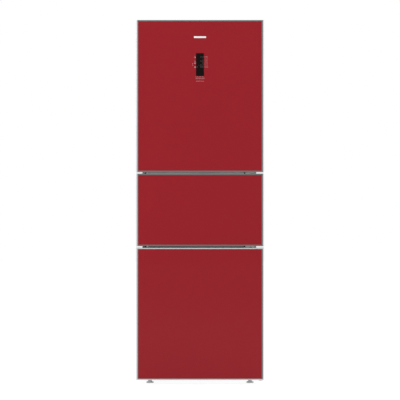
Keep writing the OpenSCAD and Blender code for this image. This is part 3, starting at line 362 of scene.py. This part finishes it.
def makeFinish(name, look):
    material, tree, shader, coords = startMaterial(name, look.get("constants", {}))
    effect = placeGroup(tree, look["effect"], coords, look.get("values", {}))
    color = mixColors(tree, effect.outputs["Mask"], look["base"], look["shade"])
    rough = mapRange(tree, effect.outputs["Mask"], *look["rough"])
    if look.get("film"):
        film = placeGroup(tree, "handling", coords, {"Amount": look["film"]})
        rough = addMath(tree, "ADD", rough, film.outputs["Mask"], clamp=True)
    if look.get("dust"):
        dust = placeGroup(tree, "dust", coords, {"Amount": look["dust"]})
        color = mixColors(tree, dust.outputs["Mask"], color, dustColor)
        rough = addMath(tree, "ADD", rough, dust.outputs["Mask"], clamp=True)
    linkNodes(tree, (color, shader.inputs["Base Color"]), (rough, shader.inputs["Roughness"]))
    addBump(tree, shader, effect.outputs["Height"], look["bump"], look["depth"])
    return material


finishLooks = {
    "satinTrim": {
        "effect": "brush", "values": {"Stretch": (1400, 1400, 9), "Contrast": 1.5},
        "base": (0.655, 0.655, 0.665), "shade": (0.57, 0.57, 0.582), "rough": (0.22, 0.36),
        "film": 0.05, "bump": 0.12, "depth": 0.00004, "constants": {"Metallic": 0.92},
    },
    # The door caps and the hinge cover are one grey plastic in three lit and shaded copies: painted
    # shade darkens the upper and middle ones, painted light brightens the lower caps
    "capUpperShaded": {
        "effect": "grain", "values": {"Scale": 1300.0, "Pits": 0.3},
        "base": (0.165, 0.17, 0.167), "shade": (0.138, 0.143, 0.141), "rough": (0.36, 0.5),
        "dust": 0.25, "bump": 0.18, "depth": 0.00006,
    },
    "capMiddleShaded": {
        "effect": "grain", "values": {"Scale": 1300.0, "Pits": 0.3},
        "base": (0.128, 0.131, 0.131), "shade": (0.106, 0.109, 0.109), "rough": (0.36, 0.5),
        "dust": 0.25, "bump": 0.18, "depth": 0.00006,
    },
    "capLowerLit": {
        "effect": "grain", "values": {"Scale": 1300.0, "Pits": 0.3},
        "base": (0.565, 0.575, 0.57), "shade": (0.5, 0.51, 0.505), "rough": (0.34, 0.48),
        "dust": 0.25, "bump": 0.18, "depth": 0.00006,
    },
    "cabinetPaint": {
        "effect": "peel", "values": {"Scale": 340.0},
        "base": (0.40, 0.405, 0.42), "shade": (0.375, 0.38, 0.395), "rough": (0.26, 0.36),
        "film": 0.12, "dust": 0.35, "bump": 0.14, "depth": 0.00012,
        "constants": {"Metallic": 0.25, "Coat Weight": 0.3, "Coat Roughness": 0.12},
    },
    "zincSheet": {
        "effect": "brush", "values": {"Stretch": (95, 95, 95), "Contrast": 1.5},
        "base": (0.52, 0.53, 0.54), "shade": (0.43, 0.44, 0.455), "rough": (0.34, 0.52),
        "dust": 0.5, "bump": 0.1, "depth": 0.0001, "constants": {"Metallic": 0.85},
    },
    "cabinetFoam": {
        "effect": "grain", "values": {"Scale": 420.0, "Pits": 1.2},
        "base": (0.80, 0.69, 0.42), "shade": (0.70, 0.57, 0.31), "rough": (0.85, 0.95),
        "bump": 0.5, "depth": 0.0006,
    },
    "linerPlastic": {
        "effect": "peel", "values": {"Scale": 190.0},
        "base": (0.84, 0.85, 0.86), "shade": (0.80, 0.81, 0.825), "rough": (0.3, 0.38),
        "film": 0.03, "bump": 0.06, "depth": 0.00012,
        "constants": {"Specular IOR Level": 0.45},
    },
    "sealRubber": {
        "effect": "grain", "values": {"Scale": 1800.0, "Pits": 0.4},
        "base": (0.47, 0.48, 0.49), "shade": (0.40, 0.41, 0.42), "rough": (0.55, 0.7),
        "film": 0.1, "bump": 0.2, "depth": 0.00008,
    },
    "platedSteel": {
        "effect": "brush", "values": {"Stretch": (300, 60, 300), "Contrast": 1.4},
        "base": (0.70, 0.70, 0.69), "shade": (0.58, 0.58, 0.56), "rough": (0.24, 0.4),
        "dust": 0.2, "bump": 0.15, "depth": 0.00008, "constants": {"Metallic": 1.0},
    },
    "brightCap": {
        "effect": "brush", "values": {"Stretch": (20, 900, 900), "Contrast": 1.0},
        "base": (0.84, 0.84, 0.85), "shade": (0.76, 0.76, 0.77), "rough": (0.2, 0.3),
        "film": 0.05, "bump": 0.06, "depth": 0.00003, "constants": {"Metallic": 0.85},
    },
    "blackEnamel": {
        "effect": "peel", "values": {"Scale": 420.0},
        "base": (0.012, 0.012, 0.014), "shade": (0.022, 0.022, 0.024), "rough": (0.24, 0.42),
        "dust": 0.6, "bump": 0.25, "depth": 0.0002,
    },
    "mountRubber": {
        "effect": "grain", "values": {"Scale": 900.0, "Pits": 0.6},
        "base": (0.02, 0.02, 0.021), "shade": (0.035, 0.035, 0.034), "rough": (0.6, 0.8),
        "dust": 0.4, "bump": 0.3, "depth": 0.0001,
    },
    "footPlastic": {
        "effect": "grain", "values": {"Scale": 1100.0, "Pits": 0.4},
        "base": (0.93, 0.93, 0.93), "shade": (0.88, 0.88, 0.885), "rough": (0.45, 0.6),
        "bump": 0.15, "depth": 0.0001,
    },
    "drawnCopper": {
        "effect": "brush", "values": {"Stretch": (120, 120, 120), "Contrast": 1.6},
        "base": (0.76, 0.38, 0.24), "shade": (0.48, 0.21, 0.13), "rough": (0.2, 0.42),
        "dust": 0.3, "bump": 0.12, "depth": 0.0001, "constants": {"Metallic": 1.0},
    },
    "ductPlastic": {
        "effect": "grain", "values": {"Scale": 1200.0, "Pits": 0.4},
        "base": (0.80, 0.81, 0.82), "shade": (0.73, 0.74, 0.755), "rough": (0.34, 0.46),
        "bump": 0.16, "depth": 0.00008,
    },
    "blackPlastic": {
        "effect": "grain", "values": {"Scale": 1200.0, "Pits": 0.6},
        "base": (0.03, 0.03, 0.032), "shade": (0.045, 0.045, 0.047), "rough": (0.42, 0.58),
        "dust": 0.45, "bump": 0.25, "depth": 0.0001,
    },
    "motorSteel": {
        "effect": "brush", "values": {"Stretch": (700, 30, 700), "Contrast": 1.3},
        "base": (0.62, 0.62, 0.61), "shade": (0.48, 0.48, 0.48), "rough": (0.28, 0.45),
        "bump": 0.12, "depth": 0.00006, "constants": {"Metallic": 1.0},
    },
    "finAluminium": {
        "effect": "brush", "values": {"Stretch": (60, 500, 60), "Contrast": 1.2},
        "base": (0.80, 0.81, 0.82), "shade": (0.66, 0.67, 0.69), "rough": (0.2, 0.36),
        "bump": 0.1, "depth": 0.00006, "constants": {"Metallic": 1.0},
    },
    "lampLens": {
        "effect": "brush", "values": {"Stretch": (420, 4, 4), "Contrast": 1.1},
        "base": (0.95, 0.96, 0.95), "shade": (0.86, 0.87, 0.87), "rough": (0.3, 0.4),
        "bump": 0.5, "depth": 0.0006,
        "constants": {"Emission Color": (1.0, 0.97, 0.9, 1), "Emission Strength": 16.0},
    },
    "shelfGlass": {
        "effect": "peel", "values": {"Scale": 6.0},
        "base": (0.90, 0.965, 0.945), "shade": (0.86, 0.945, 0.92), "rough": (0.0, 0.02),
        "film": 0.05, "bump": 0.02, "depth": 0.0004,
        "constants": {"Transmission Weight": 0.92, "IOR": 1.45, "Alpha": 0.45},
    },
    "crystalPlastic": {
        "effect": "peel", "values": {"Scale": 40.0},
        "base": (0.92, 0.965, 0.985), "shade": (0.88, 0.935, 0.96), "rough": (0.05, 0.1),
        "film": 0.04, "bump": 0.05, "depth": 0.0003,
        "constants": {"Transmission Weight": 0.8, "IOR": 1.45, "Alpha": 0.7},
    },
    "frostedPlastic": {
        "effect": "peel", "values": {"Scale": 60.0},
        "base": (0.87, 0.905, 0.925), "shade": (0.83, 0.87, 0.895), "rough": (0.34, 0.42),
        "film": 0.05, "bump": 0.06, "depth": 0.0002,
        "constants": {"Transmission Weight": 0.3, "IOR": 1.45},
    },
    "windowBlack": {
        "effect": "peel", "values": {"Scale": 5.0},
        "base": (0.0042, 0.0022, 0.002), "shade": (0.0075, 0.0042, 0.004), "rough": (0.04, 0.08),
        "film": 0.05, "bump": 0.02, "depth": 0.0002,
        "constants": {"Specular IOR Level": 0.06},
    },
    # dark grey bead, partly painted shade for the shadow line where the trim meets the glass
    "beadPlasticAndShade": {
        "effect": "grain", "values": {"Scale": 1800.0, "Pits": 0.3},
        "base": (0.155, 0.15, 0.152), "shade": (0.125, 0.12, 0.122), "rough": (0.42, 0.55),
        "bump": 0.15, "depth": 0.00004,
    },
    "printedMark": {
        "effect": "grain", "values": {"Scale": 2600.0, "Pits": 0.2},
        "base": (0.55, 0.50, 0.51), "shade": (0.48, 0.42, 0.43), "rough": (0.4, 0.55),
        "bump": 0.08, "depth": 0.00002,
    },
    "litSegment": {
        "effect": "grain", "values": {"Scale": 2600.0, "Pits": 0.2},
        "base": (0.16, 0.13, 0.12), "shade": (0.12, 0.1, 0.1), "rough": (0.25, 0.35),
        "bump": 0.05, "depth": 0.00002,
        "constants": {"Emission Color": (0.75, 0.8, 0.9, 1), "Emission Strength": 0.06},
    },
    "badgeMetal": {
        "effect": "brush", "values": {"Stretch": (14, 900, 1600), "Contrast": 1.2},
        "base": (0.90, 0.90, 0.90), "shade": (0.80, 0.80, 0.81), "rough": (0.16, 0.28),
        "film": 0.04, "bump": 0.1, "depth": 0.00003, "constants": {"Metallic": 0.7},
    },
}
finishes = {name: makeFinish(name, look) for name, look in finishLooks.items()}

# Tempered glass printed red on its back: mica flecks in the print, slight roller waves in the pane
redGlass = {
    "deep": (0.268, 0.0022, 0.0085), "light": (0.299, 0.0032, 0.0105), "broadScale": 2.2,
    "fleck": (0.40, 0.012, 0.022), "fleckScale": 2600.0, "fleckAbove": 0.82, "fleckMost": 0.3,
    "film": {"Scale": 5.0, "Amount": 0.08}, "rough": (0.03, 0.3),
    "waveScale": 7.0, "waveNoise": (1.0, 0.4), "bump": 0.04, "depth": 0.0008,
    "constants": {"Specular IOR Level": 0.2, "Metallic": 0.0},
}


def makeRedGlass():
    material, tree, shader, coords = startMaterial("redGlass", redGlass["constants"])
    broad = addNoise(tree, coords, redGlass["broadScale"])
    color = mixColors(tree, broad, redGlass["deep"], redGlass["light"])
    cells = tree.nodes.new("ShaderNodeTexVoronoi")
    cells.inputs["Scale"].default_value = redGlass["fleckScale"]
    tree.links.new(coords, cells.inputs["Vector"])
    split = tree.nodes.new("ShaderNodeSeparateColor")
    tree.links.new(cells.outputs["Color"], split.inputs["Color"])
    rare = mapRange(tree, split.outputs["Red"], 0.0, redGlass["fleckMost"], redGlass["fleckAbove"])
    color = mixColors(tree, rare, color, redGlass["fleck"])
    film = placeGroup(tree, "handling", coords, redGlass["film"])
    rough = mapRange(tree, film.outputs["Mask"], *redGlass["rough"])
    wave = addNoise(tree, coords, redGlass["waveScale"], *redGlass["waveNoise"])
    linkNodes(tree, (color, shader.inputs["Base Color"]), (rough, shader.inputs["Roughness"]))
    addBump(tree, shader, wave, redGlass["bump"], redGlass["depth"])
    return material


finishes["redGlass"] = makeRedGlass()

# The two bars behind the gaps: one grey paint, the upper bar paler with painted light and the lower
# bar darker with painted shade, for how much light reaches into each gap
crossbarLitAndShaded = {
    "upper": (0.39, 0.388, 0.39), "lower": (0.158, 0.157, 0.158), "worn": (0.2, 0.2, 0.202),
    "shadedBelowHeight": 0.75, "litAboveHeight": 0.85, "peel": {"Scale": 340.0},
    "film": {"Scale": 14.0, "Amount": 0.5}, "rough": (0.14, 0.24), "bump": 0.14, "depth": 0.00012,
    "constants": {"Metallic": 0.75},
}


def makeCrossbarLitShadedPaint():
    material, tree, shader, coords = startMaterial("crossbarLitShadedPaint", crossbarLitAndShaded["constants"])
    split = tree.nodes.new("ShaderNodeSeparateXYZ")
    tree.links.new(coords, split.inputs["Vector"])
    # painted light and shade: with height the colour goes from the shaded lower tone to the lit
    # upper tone
    upper = mapRange(tree, split.outputs["Z"], 0.0, 1.0,
                     crossbarLitAndShaded["shadedBelowHeight"], crossbarLitAndShaded["litAboveHeight"])
    color = mixColors(tree, upper, crossbarLitAndShaded["lower"], crossbarLitAndShaded["upper"])
    peel = placeGroup(tree, "peel", coords, crossbarLitAndShaded["peel"])
    film = placeGroup(tree, "handling", coords, crossbarLitAndShaded["film"])
    color = mixColors(tree, film.outputs["Mask"], color, crossbarLitAndShaded["worn"])
    rough = mapRange(tree, peel.outputs["Mask"], *crossbarLitAndShaded["rough"])
    linkNodes(tree, (color, shader.inputs["Base Color"]), (rough, shader.inputs["Roughness"]))
    addBump(tree, shader, peel.outputs["Height"], crossbarLitAndShaded["bump"], crossbarLitAndShaded["depth"])
    return material


finishes["crossbarLitShadedPaint"] = makeCrossbarLitShadedPaint()
print("finishes made:", len(finishes))

nodeFinishes = {
    "redGlass": ["upper_door_glass", "middle_door_glass", "lower_door_glass"],
    "satinTrim": ["upper_door_trims", "middle_door_trims", "lower_door_trims"],
    "capUpperShaded": ["upper_door_caps", "hinge_cover"],
    "capMiddleShaded": ["middle_door_caps"],
    "capLowerLit": ["lower_door_caps"],
    "cabinetPaint": ["cabinet_shell"],
    "crossbarLitShadedPaint": ["crossbars"],
    "zincSheet": ["back_panel", "base_tray"],
    "cabinetFoam": ["wall_insulation", "inner_insulation", "upper_door_foam",
                    "middle_door_foam", "lower_door_foam"],
    "linerPlastic": ["fridge_liner", "middle_liner", "freezer_liner", "upper_door_liner",
                     "middle_door_liner", "lower_door_liner"],
    "sealRubber": ["upper_door_seal", "middle_door_seal", "lower_door_seal"],
    "platedSteel": ["top_hinge", "middle_hinges", "bottom_hinge", "hinge_screws"],
    "brightCap": ["gap_caps"],
    "blackEnamel": ["compressor"],
    "mountRubber": ["compressor_mounts", "roller_left", "roller_right"],
    "footPlastic": ["foot_left", "foot_right"],
    "drawnCopper": ["refrigerant_pipes"],
    "ductPlastic": ["fridge_duct", "freezer_duct", "evaporation_tray", "shelf_trims"],
    "blackPlastic": ["rear_cover", "mains_inlet", "fan_blades"],
    "motorSteel": ["fan_motor"],
    "finAluminium": ["evaporator"],
    "lampLens": ["lamp_lens"],
    "shelfGlass": ["glass_shelves"],
    "crystalPlastic": ["crisper_drawer", "middle_drawer", "bin_top", "bin_middle", "bin_bottom"],
    "frostedPlastic": ["freezer_drawer_top", "freezer_drawer_middle", "freezer_drawer_bottom"],
    "windowBlack": ["display_panel"],
}
for finishName, nodeNames in nodeFinishes.items():
    for nodeName in nodeNames:
        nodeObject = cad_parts[nodeName]
        if not nodeObject.material_slots:
            nodeObject.data.materials.append(finishes[finishName])
        for materialSlot in nodeObject.material_slots:
            materialSlot.material = finishes[finishName]
print("frame nodes dressed:", sum(len(names) for names in nodeFinishes.values()))


# Pieces modelled here
mergeDistance = 1e-6


def addPiece(name, bm, finishName, body, smoothAngle=35):
    bmesh.ops.remove_doubles(bm, verts=bm.verts, dist=mergeDistance)
    bmesh.ops.recalc_face_normals(bm, faces=bm.faces)
    mesh = bpy.data.meshes.new(name)
    bm.to_mesh(mesh)
    bm.free()
    mesh.materials.append(finishes[finishName])
    mesh.shade_smooth()
    mesh.set_sharp_from_angle(angle=math.radians(smoothAngle))
    piece = bpy.data.objects.new(name, mesh)
    bpy.context.scene.collection.objects.link(piece)
    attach(piece, body)
    return piece


def addBlock(bm, low, high, bevelWidth, segments):
    size = Vector(high) - Vector(low)
    middle = (Vector(high) + Vector(low)) / 2
    made = bmesh.ops.create_cube(bm, size=1.0, matrix=Matrix.LocRotScale(middle, None, size))
    edges = list({edge for vert in made["verts"] for edge in vert.link_edges})
    bmesh.ops.bevel(bm, geom=edges, offset=bevelWidth, affect="EDGES", segments=segments,
                    profile=0.5, material=-1)


def addMitredFrame(bm, centre, halfWidth, halfHeight, profile):
    # profile: points (outward, y) of a closed section, swept round a rectangle in X and Z
    corner = Vector((halfWidth, 0, halfHeight))
    ring = [bm.verts.new(centre + corner + Vector((out, y, out))) for out, y in profile]
    edges = [bm.edges.new((ring[i], ring[(i + 1) % len(ring)])) for i in range(len(ring))]
    pivot = Matrix.Translation(-centre)
    for turn in ((-1, 1, 1), (1, 1, -1), (-1, 1, 1), (1, 1, -1)):
        grown = bmesh.ops.extrude_edge_only(bm, edges=edges)["geom"]
        verts = [item for item in grown if isinstance(item, bmesh.types.BMVert)]
        edges = [item for item in grown if isinstance(item, bmesh.types.BMEdge)]
        bmesh.ops.scale(bm, vec=turn, space=pivot, verts=verts)
    bmesh.ops.remove_doubles(bm, verts=bm.verts, dist=mergeDistance)


doorBodies = ("upper_door", "middle_door", "lower_door")

# Dark strip between the glass and its silver surround, wide at the sides and thin above and below:
# a plastic bead whose dark grey is partly painted shade, standing in for the shadow line where the
# trim meets the glass
beadSizes = {
    "grip": 0.0041, "hinge": 0.0056, "ends": 0.0007, "height": 0.0009,
    "gripLip": 0.0065, "lip": 0.005, "sink": 0.0002,
    # (share of the strip's width from its outer edge, share of its height)
    "profile": [(0.0, 0.8), (0.12, 1.0), (0.55, 0.9), (0.86, 0.6), (0.97, 0.25)],
}


def addRectangle(bm, low, high, y):
    size = Matrix.Diagonal(((high.x - low.x) / 2, (high.z - low.z) / 2, 1, 1))
    turn = Matrix.Rotation(math.radians(90), 4, "X")
    place = Matrix.Translation(((low.x + high.x) / 2, y, (low.z + high.z) / 2))
    made = bmesh.ops.create_grid(bm, x_segments=1, y_segments=1, size=1.0,
                                 matrix=place @ turn @ size)
    edges = list({edge for vert in made["verts"] for edge in vert.link_edges})
    bmesh.ops.delete(bm, geom=made["verts"][0].link_faces[:], context="FACES_ONLY")
    return edges


def makeGlassBeads():
    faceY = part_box("upper_door_glass")[0].y
    height, sink = beadSizes["height"], beadSizes["sink"]
    crown = [(share, -height * rise) for share, rise in beadSizes["profile"]]
    section = [(0.0, sink)] + crown + [(1.0, sink)]
    gripSide = Vector((beadSizes["grip"], 0, beadSizes["ends"]))
    hingeSide = Vector((beadSizes["hinge"], 0, beadSizes["ends"]))
    for door in doorBodies:
        low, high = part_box(door + "_trims")
        low += Vector((beadSizes["gripLip"], 0, beadSizes["lip"]))
        high -= Vector((beadSizes["lip"], 0, beadSizes["lip"]))
        bm = bmesh.new()
        loops = [addRectangle(bm, low + share * gripSide, high - share * hingeSide, faceY + y)
                 for share, y in section]
        for inner, outer in zip(loops, loops[1:] + loops[:1]):
            bmesh.ops.bridge_loops(bm, edges=inner + outer)
        addPiece(door + "_glass_bead", bm, "beadPlasticAndShade", door)


makeGlassBeads()
print("glass beads made")

# Magnetic seals, from front to back: a foot in the door's liner, soft bellows, the magnet's sleeve
sealSizes = {
    "width": 0.012,
    # all round the section: (share of the width inwards, share of the depth from the front)
    "profile": [
        (0.0, 0.0), (0.0, 0.2), (0.1, 0.26), (0.3, 0.3), (0.12, 0.4), (0.08, 0.48), (0.26, 0.58),
        (0.1, 0.66), (0.02, 0.72), (0.0, 0.78), (0.0, 0.94), (0.05, 1.0), (0.42, 1.0), (0.46, 0.97),
        (0.5, 1.0), (0.95, 1.0), (1.0, 0.94), (1.0, 0.78), (0.98, 0.72), (0.86, 0.64), (0.76, 0.54),
        (0.9, 0.44), (0.88, 0.34), (0.7, 0.28), (0.92, 0.22), (1.0, 0.16), (1.0, 0.0),
    ],
}


def makeSeals():
    width = sealSizes["width"]
    for door in doorBodies:
        low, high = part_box(door + "_seal")
        centre = (low + high) / 2
        centre.y = 0
        depth = high.y - low.y
        profile = [(-width * inward, low.y + depth * along)
                   for inward, along in sealSizes["profile"]]
        bm = bmesh.new()
        addMitredFrame(bm, centre, (high.x - low.x) / 2, (high.z - low.z) / 2, profile)
        seal = addPiece(door + "_gasket", bm, "sealRubber", door, smoothAngle=50)
        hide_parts(door + "_seal")


makeSeals()
print("seals made")

# Small symbols beside and inside the display, and a plain plate above it
displayMarks = {
    "thickness": 0.00012,
    "plate": (0.056, 0.0082, 0.0012), "plateBelowTop": 0.0795, "plateBevel": 0.0005,
    # a column of four symbols; rings are (radius, width) and bars (length, height)
    "iconX": -0.0232,
    "dotRingZ": 0.0343, "starZ": 0.0068, "smallRingZ": 0.0158, "crossRingZ": -0.0122,
    "dotRing": (0.0031, 0.0009), "dotSize": 0.0014, "smallRing": (0.0019, 0.0007),
    "starBar": (0.0088, 0.0009), "starTurns": (30, 90, 150),
    "crossRing": (0.0034, 0.0008), "crossBar": (0.0046, 0.001), "crossTurns": (45, 135),
    # bars left of the star: (below the star, length, height)
    "sideX": -0.0105, "sideBars": [(0.0022, 0.0036, 0.0009), (0.0094, 0.0048, 0.0011)],
    # bars right of the window: columns are (across, share of the length, height), bars (up, length)
    "scaleColumns": [(0.0325, 1.0, 0.0011), (0.0238, 0.7, 0.0009)],
    "scale": [(0.0353, 0.0085), (0.026, 0.0035), (0.0167, 0.0055), (0.0075, 0.0055),
              (-0.0018, 0.0055), (-0.0112, 0.0085)],
    # lit bars in the window: (across, up, length)
    "segmentHeight": 0.0012,
    "segments": [(0.0139, 0.0353, 0.0062), (0.0139, 0.026, 0.0036), (0.0139, 0.0167, 0.0062),
                 (0.0139, 0.0075, 0.005), (0.0139, -0.0018, 0.0042), (0.0139, -0.0112, 0.0062),
                 (0.0046, 0.0353, 0.004), (0.0046, 0.0167, 0.004), (0.0046, -0.0018, 0.0046),
                 (0.0046, -0.0112, 0.006), (-0.0139, -0.0112, 0.0055), (-0.0046, -0.003, 0.002)],
    # rows of dashes below the window: (height, how many, length of one)
    "dashPitch": 0.0046, "dashHeight": 0.001,
    "dashRows": [(-0.0577, 9, 0.0031), (-0.0655, 9, 0.0038), (-0.0770, 8, 0.0036)],
}


def addFlatBar(bm, x, z, width, height, faceY, angle=0.0):
    turn = Matrix.Rotation(angle, 4, "Y")
    place = Matrix.Translation((x, faceY - displayMarks["thickness"] / 2, z))
    size = Matrix.Diagonal((width, displayMarks["thickness"], height, 1))
    bmesh.ops.create_cube(bm, size=1.0, matrix=place @ turn @ size)


def addRing(bm, x, z, radius, width, faceY):
    place = Matrix.Translation((x, faceY, z)) @ Matrix.Rotation(math.radians(90), 4, "X")
    made = bmesh.ops.create_circle(bm, cap_ends=True, radius=radius, segments=24, matrix=place)
    face = made["verts"][0].link_faces[0]
    walls = bmesh.ops.inset_individual(bm, faces=[face], thickness=width)["faces"]
    bmesh.ops.delete(bm, geom=[face], context="FACES_ONLY")
    grown = bmesh.ops.extrude_face_region(bm, geom=walls)["geom"]
    verts = [item for item in grown if isinstance(item, bmesh.types.BMVert)]
    bmesh.ops.translate(bm, vec=(0, -displayMarks["thickness"], 0), verts=verts)


def makeDisplayMarks():
    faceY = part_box("upper_door_glass")[0].y
    windowLow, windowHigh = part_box("display_panel")
    middleX = (windowLow.x + windowHigh.x) / 2
    middleZ = (windowLow.z + windowHigh.z) / 2
    printed = bmesh.new()
    left = middleX + displayMarks["iconX"]
    dotZ, starZ = middleZ + displayMarks["dotRingZ"], middleZ + displayMarks["starZ"]
    smallZ, crossZ = middleZ + displayMarks["smallRingZ"], middleZ + displayMarks["crossRingZ"]
    addRing(printed, left, dotZ, *displayMarks["dotRing"], faceY)
    addFlatBar(printed, left, dotZ, displayMarks["dotSize"], displayMarks["dotSize"], faceY)
    for angle in displayMarks["starTurns"]:
        addFlatBar(printed, left, starZ, *displayMarks["starBar"], faceY, math.radians(angle))
    addRing(printed, left, smallZ, *displayMarks["smallRing"], faceY)
    for below, length, height in displayMarks["sideBars"]:
        addFlatBar(printed, left + displayMarks["sideX"], starZ - below, length, height, faceY)
    addRing(printed, left, crossZ, *displayMarks["crossRing"], faceY)
    for angle in displayMarks["crossTurns"]:
        addFlatBar(printed, left, crossZ, *displayMarks["crossBar"], faceY, math.radians(angle))
    for z, length in displayMarks["scale"]:
        for across, share, height in displayMarks["scaleColumns"]:
            addFlatBar(printed, middleX + across, middleZ + z, length * share, height, faceY)
    for z, count, length in displayMarks["dashRows"]:
        for step in range(count):
            x = middleX + (step - (count - 1) / 2) * displayMarks["dashPitch"]
            addFlatBar(printed, x, middleZ + z, length, displayMarks["dashHeight"], faceY)
    addPiece("display_prints", printed, "printedMark", "upper_door")

    lit = bmesh.new()
    for x, z, length in displayMarks["segments"]:
        addFlatBar(lit, middleX + x, middleZ + z, length, displayMarks["segmentHeight"], faceY)
    addPiece("display_segments", lit, "litSegment", "upper_door")

    width, height, depth = displayMarks["plate"]
    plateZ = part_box("upper_door_trims")[1].z - displayMarks["plateBelowTop"]
    plate = bmesh.new()
    addBlock(plate, (middleX - width / 2, faceY - depth, plateZ - height / 2),
             (middleX + width / 2, faceY, plateZ + height / 2),
             bevelWidth=displayMarks["plateBevel"], segments=3)
    addPiece("plain_plate", plate, "badgeMetal", "upper_door")


makeDisplayMarks()
print("display marks and plain plate made")


# Turned shapes: a profile of circles bridged one to the next, the last one closed
# Each circle is (share of the radius, share of the height, sides)
def addTurned(bm, place, sizes):
    loops = []
    for step, (out, up, sides) in enumerate(sizes["profile"], 1):
        lift = Matrix.Translation((0, 0, sizes["height"] * up))
        made = bmesh.ops.create_circle(bm, cap_ends=step == len(sizes["profile"]), segments=sides,
                                       radius=sizes["radius"] * out, matrix=place @ lift)
        loops.append(list({edge for vert in made["verts"] for edge in vert.link_edges}))
    for lower, upper in zip(loops, loops[1:]):
        bmesh.ops.bridge_loops(bm, edges=lower + upper)


def facing(x, y, z, direction):
    turn = Vector(direction).to_track_quat("Z", "X").to_matrix().to_4x4()
    return Matrix.Translation((x, y, z)) @ turn


# Small screws that hold the bay's cover and the hinge cover, each with a six-sided recess
smallScrews = {
    "radius": 0.0045, "height": 0.0019, "sink": 0.0002,
    "coverInset": 0.011, "coverLift": 0.005, "hingeCoverInset": 0.022,
    "profile": [(1.0, 0.0, 20), (1.0, 0.45, 20), (0.94, 0.8, 20), (0.8, 1.0, 20),
                (0.46, 1.0, 6), (0.42, 0.3, 6)],
}


def makeSmallScrews():
    bm = bmesh.new()
    sink, inset = smallScrews["sink"], smallScrews["coverInset"]
    low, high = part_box("rear_cover")
    for x in (low.x + inset, 0, high.x - inset):
        for z in (low.z + inset + smallScrews["coverLift"], high.z - inset):
            addTurned(bm, facing(x, high.y - sink, z, (0, 1, 0)), smallScrews)
    addPiece("bay_cover_screws", bm, "platedSteel", "cabinet")

    bm = bmesh.new()
    low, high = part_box("hinge_cover")
    y = high.y - smallScrews["hingeCoverInset"]
    addTurned(bm, facing((low.x + high.x) / 2, y, high.z - sink, (0, 0, 1)), smallScrews)
    addPiece("hinge_cover_screw", bm, "platedSteel", "cabinet")


makeSmallScrews()
print("small screws made")

# Blanking plugs in the spare holes beside the screws, seen through the gaps
plugSizes = {
    "radius": 0.0036, "height": 0.0016, "sink": 0.0001, "left": -0.2557, "right": 0.2095,
    "sheet": 0.0008, "flange": 0.003, "barHeight": 0.056,
    "profile": [(1.0, 0.0, 20), (1.0, 0.3, 20), (0.8, 1.0, 20), (0.4, 1.0, 20), (0.34, 0.55, 20)],
}


def makeGapPlugs():
    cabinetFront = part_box("cabinet_shell")[0].y
    low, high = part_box("crossbars")
    places = ((plugSizes["left"], plugSizes["sheet"]), (plugSizes["right"], -plugSizes["flange"]))
    bm = bmesh.new()
    for z in (low.z + plugSizes["barHeight"] / 2, high.z - plugSizes["barHeight"] / 2):
        for x, y in places:
            addTurned(bm, facing(x, cabinetFront + y + plugSizes["sink"], z, (0, -1, 0)), plugSizes)
    addPiece("gap_plugs", bm, "mountRubber", "cabinet")


makeGapPlugs()
print("gap plugs made")

# Rolled thread on the levelling feet's stems
threadSizes = {
    "pitch": 0.00175, "root": 0.00495, "crest": 0.00524, "turns": 14, "stepsPerTurn": 20,
    "start": 0.0132, "rootHalf": 0.36, "crestHalf": 0.08,  # halves are shares of the pitch
}


def makeFootThreads():
    pitch, turns = threadSizes["pitch"], threadSizes["turns"]
    for side in ("foot_left", "foot_right"):
        low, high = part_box(side)
        axis = Vector(((low.x + high.x) / 2, (low.y + high.y) / 2, 0))
        bm = bmesh.new()
        section = [(threadSizes["root"], -threadSizes["rootHalf"]),
                   (threadSizes["crest"], -threadSizes["crestHalf"]),
                   (threadSizes["crest"], threadSizes["crestHalf"]),
                   (threadSizes["root"], threadSizes["rootHalf"])]
        verts = [bm.verts.new(axis + Vector((radius, 0, threadSizes["start"] + share * pitch)))
                 for radius, share in section]
        edges = [bm.edges.new((verts[i], verts[(i + 1) % len(verts)])) for i in range(len(verts))]
        steps = turns * threadSizes["stepsPerTurn"]
        bmesh.ops.spin(bm, geom=verts + edges, cent=axis, axis=(0, 0, 1),
                       angle=math.radians(360 * turns), dvec=(0, 0, pitch * turns / steps),
                       steps=steps, use_merge=False)
        ends = [edge for edge in bm.edges if edge.is_boundary]
        bmesh.ops.holes_fill(bm, edges=ends, sides=len(section))
        addPiece(side + "_thread", bm, "footPlastic", side)


makeFootThreads()
print("foot threads made")
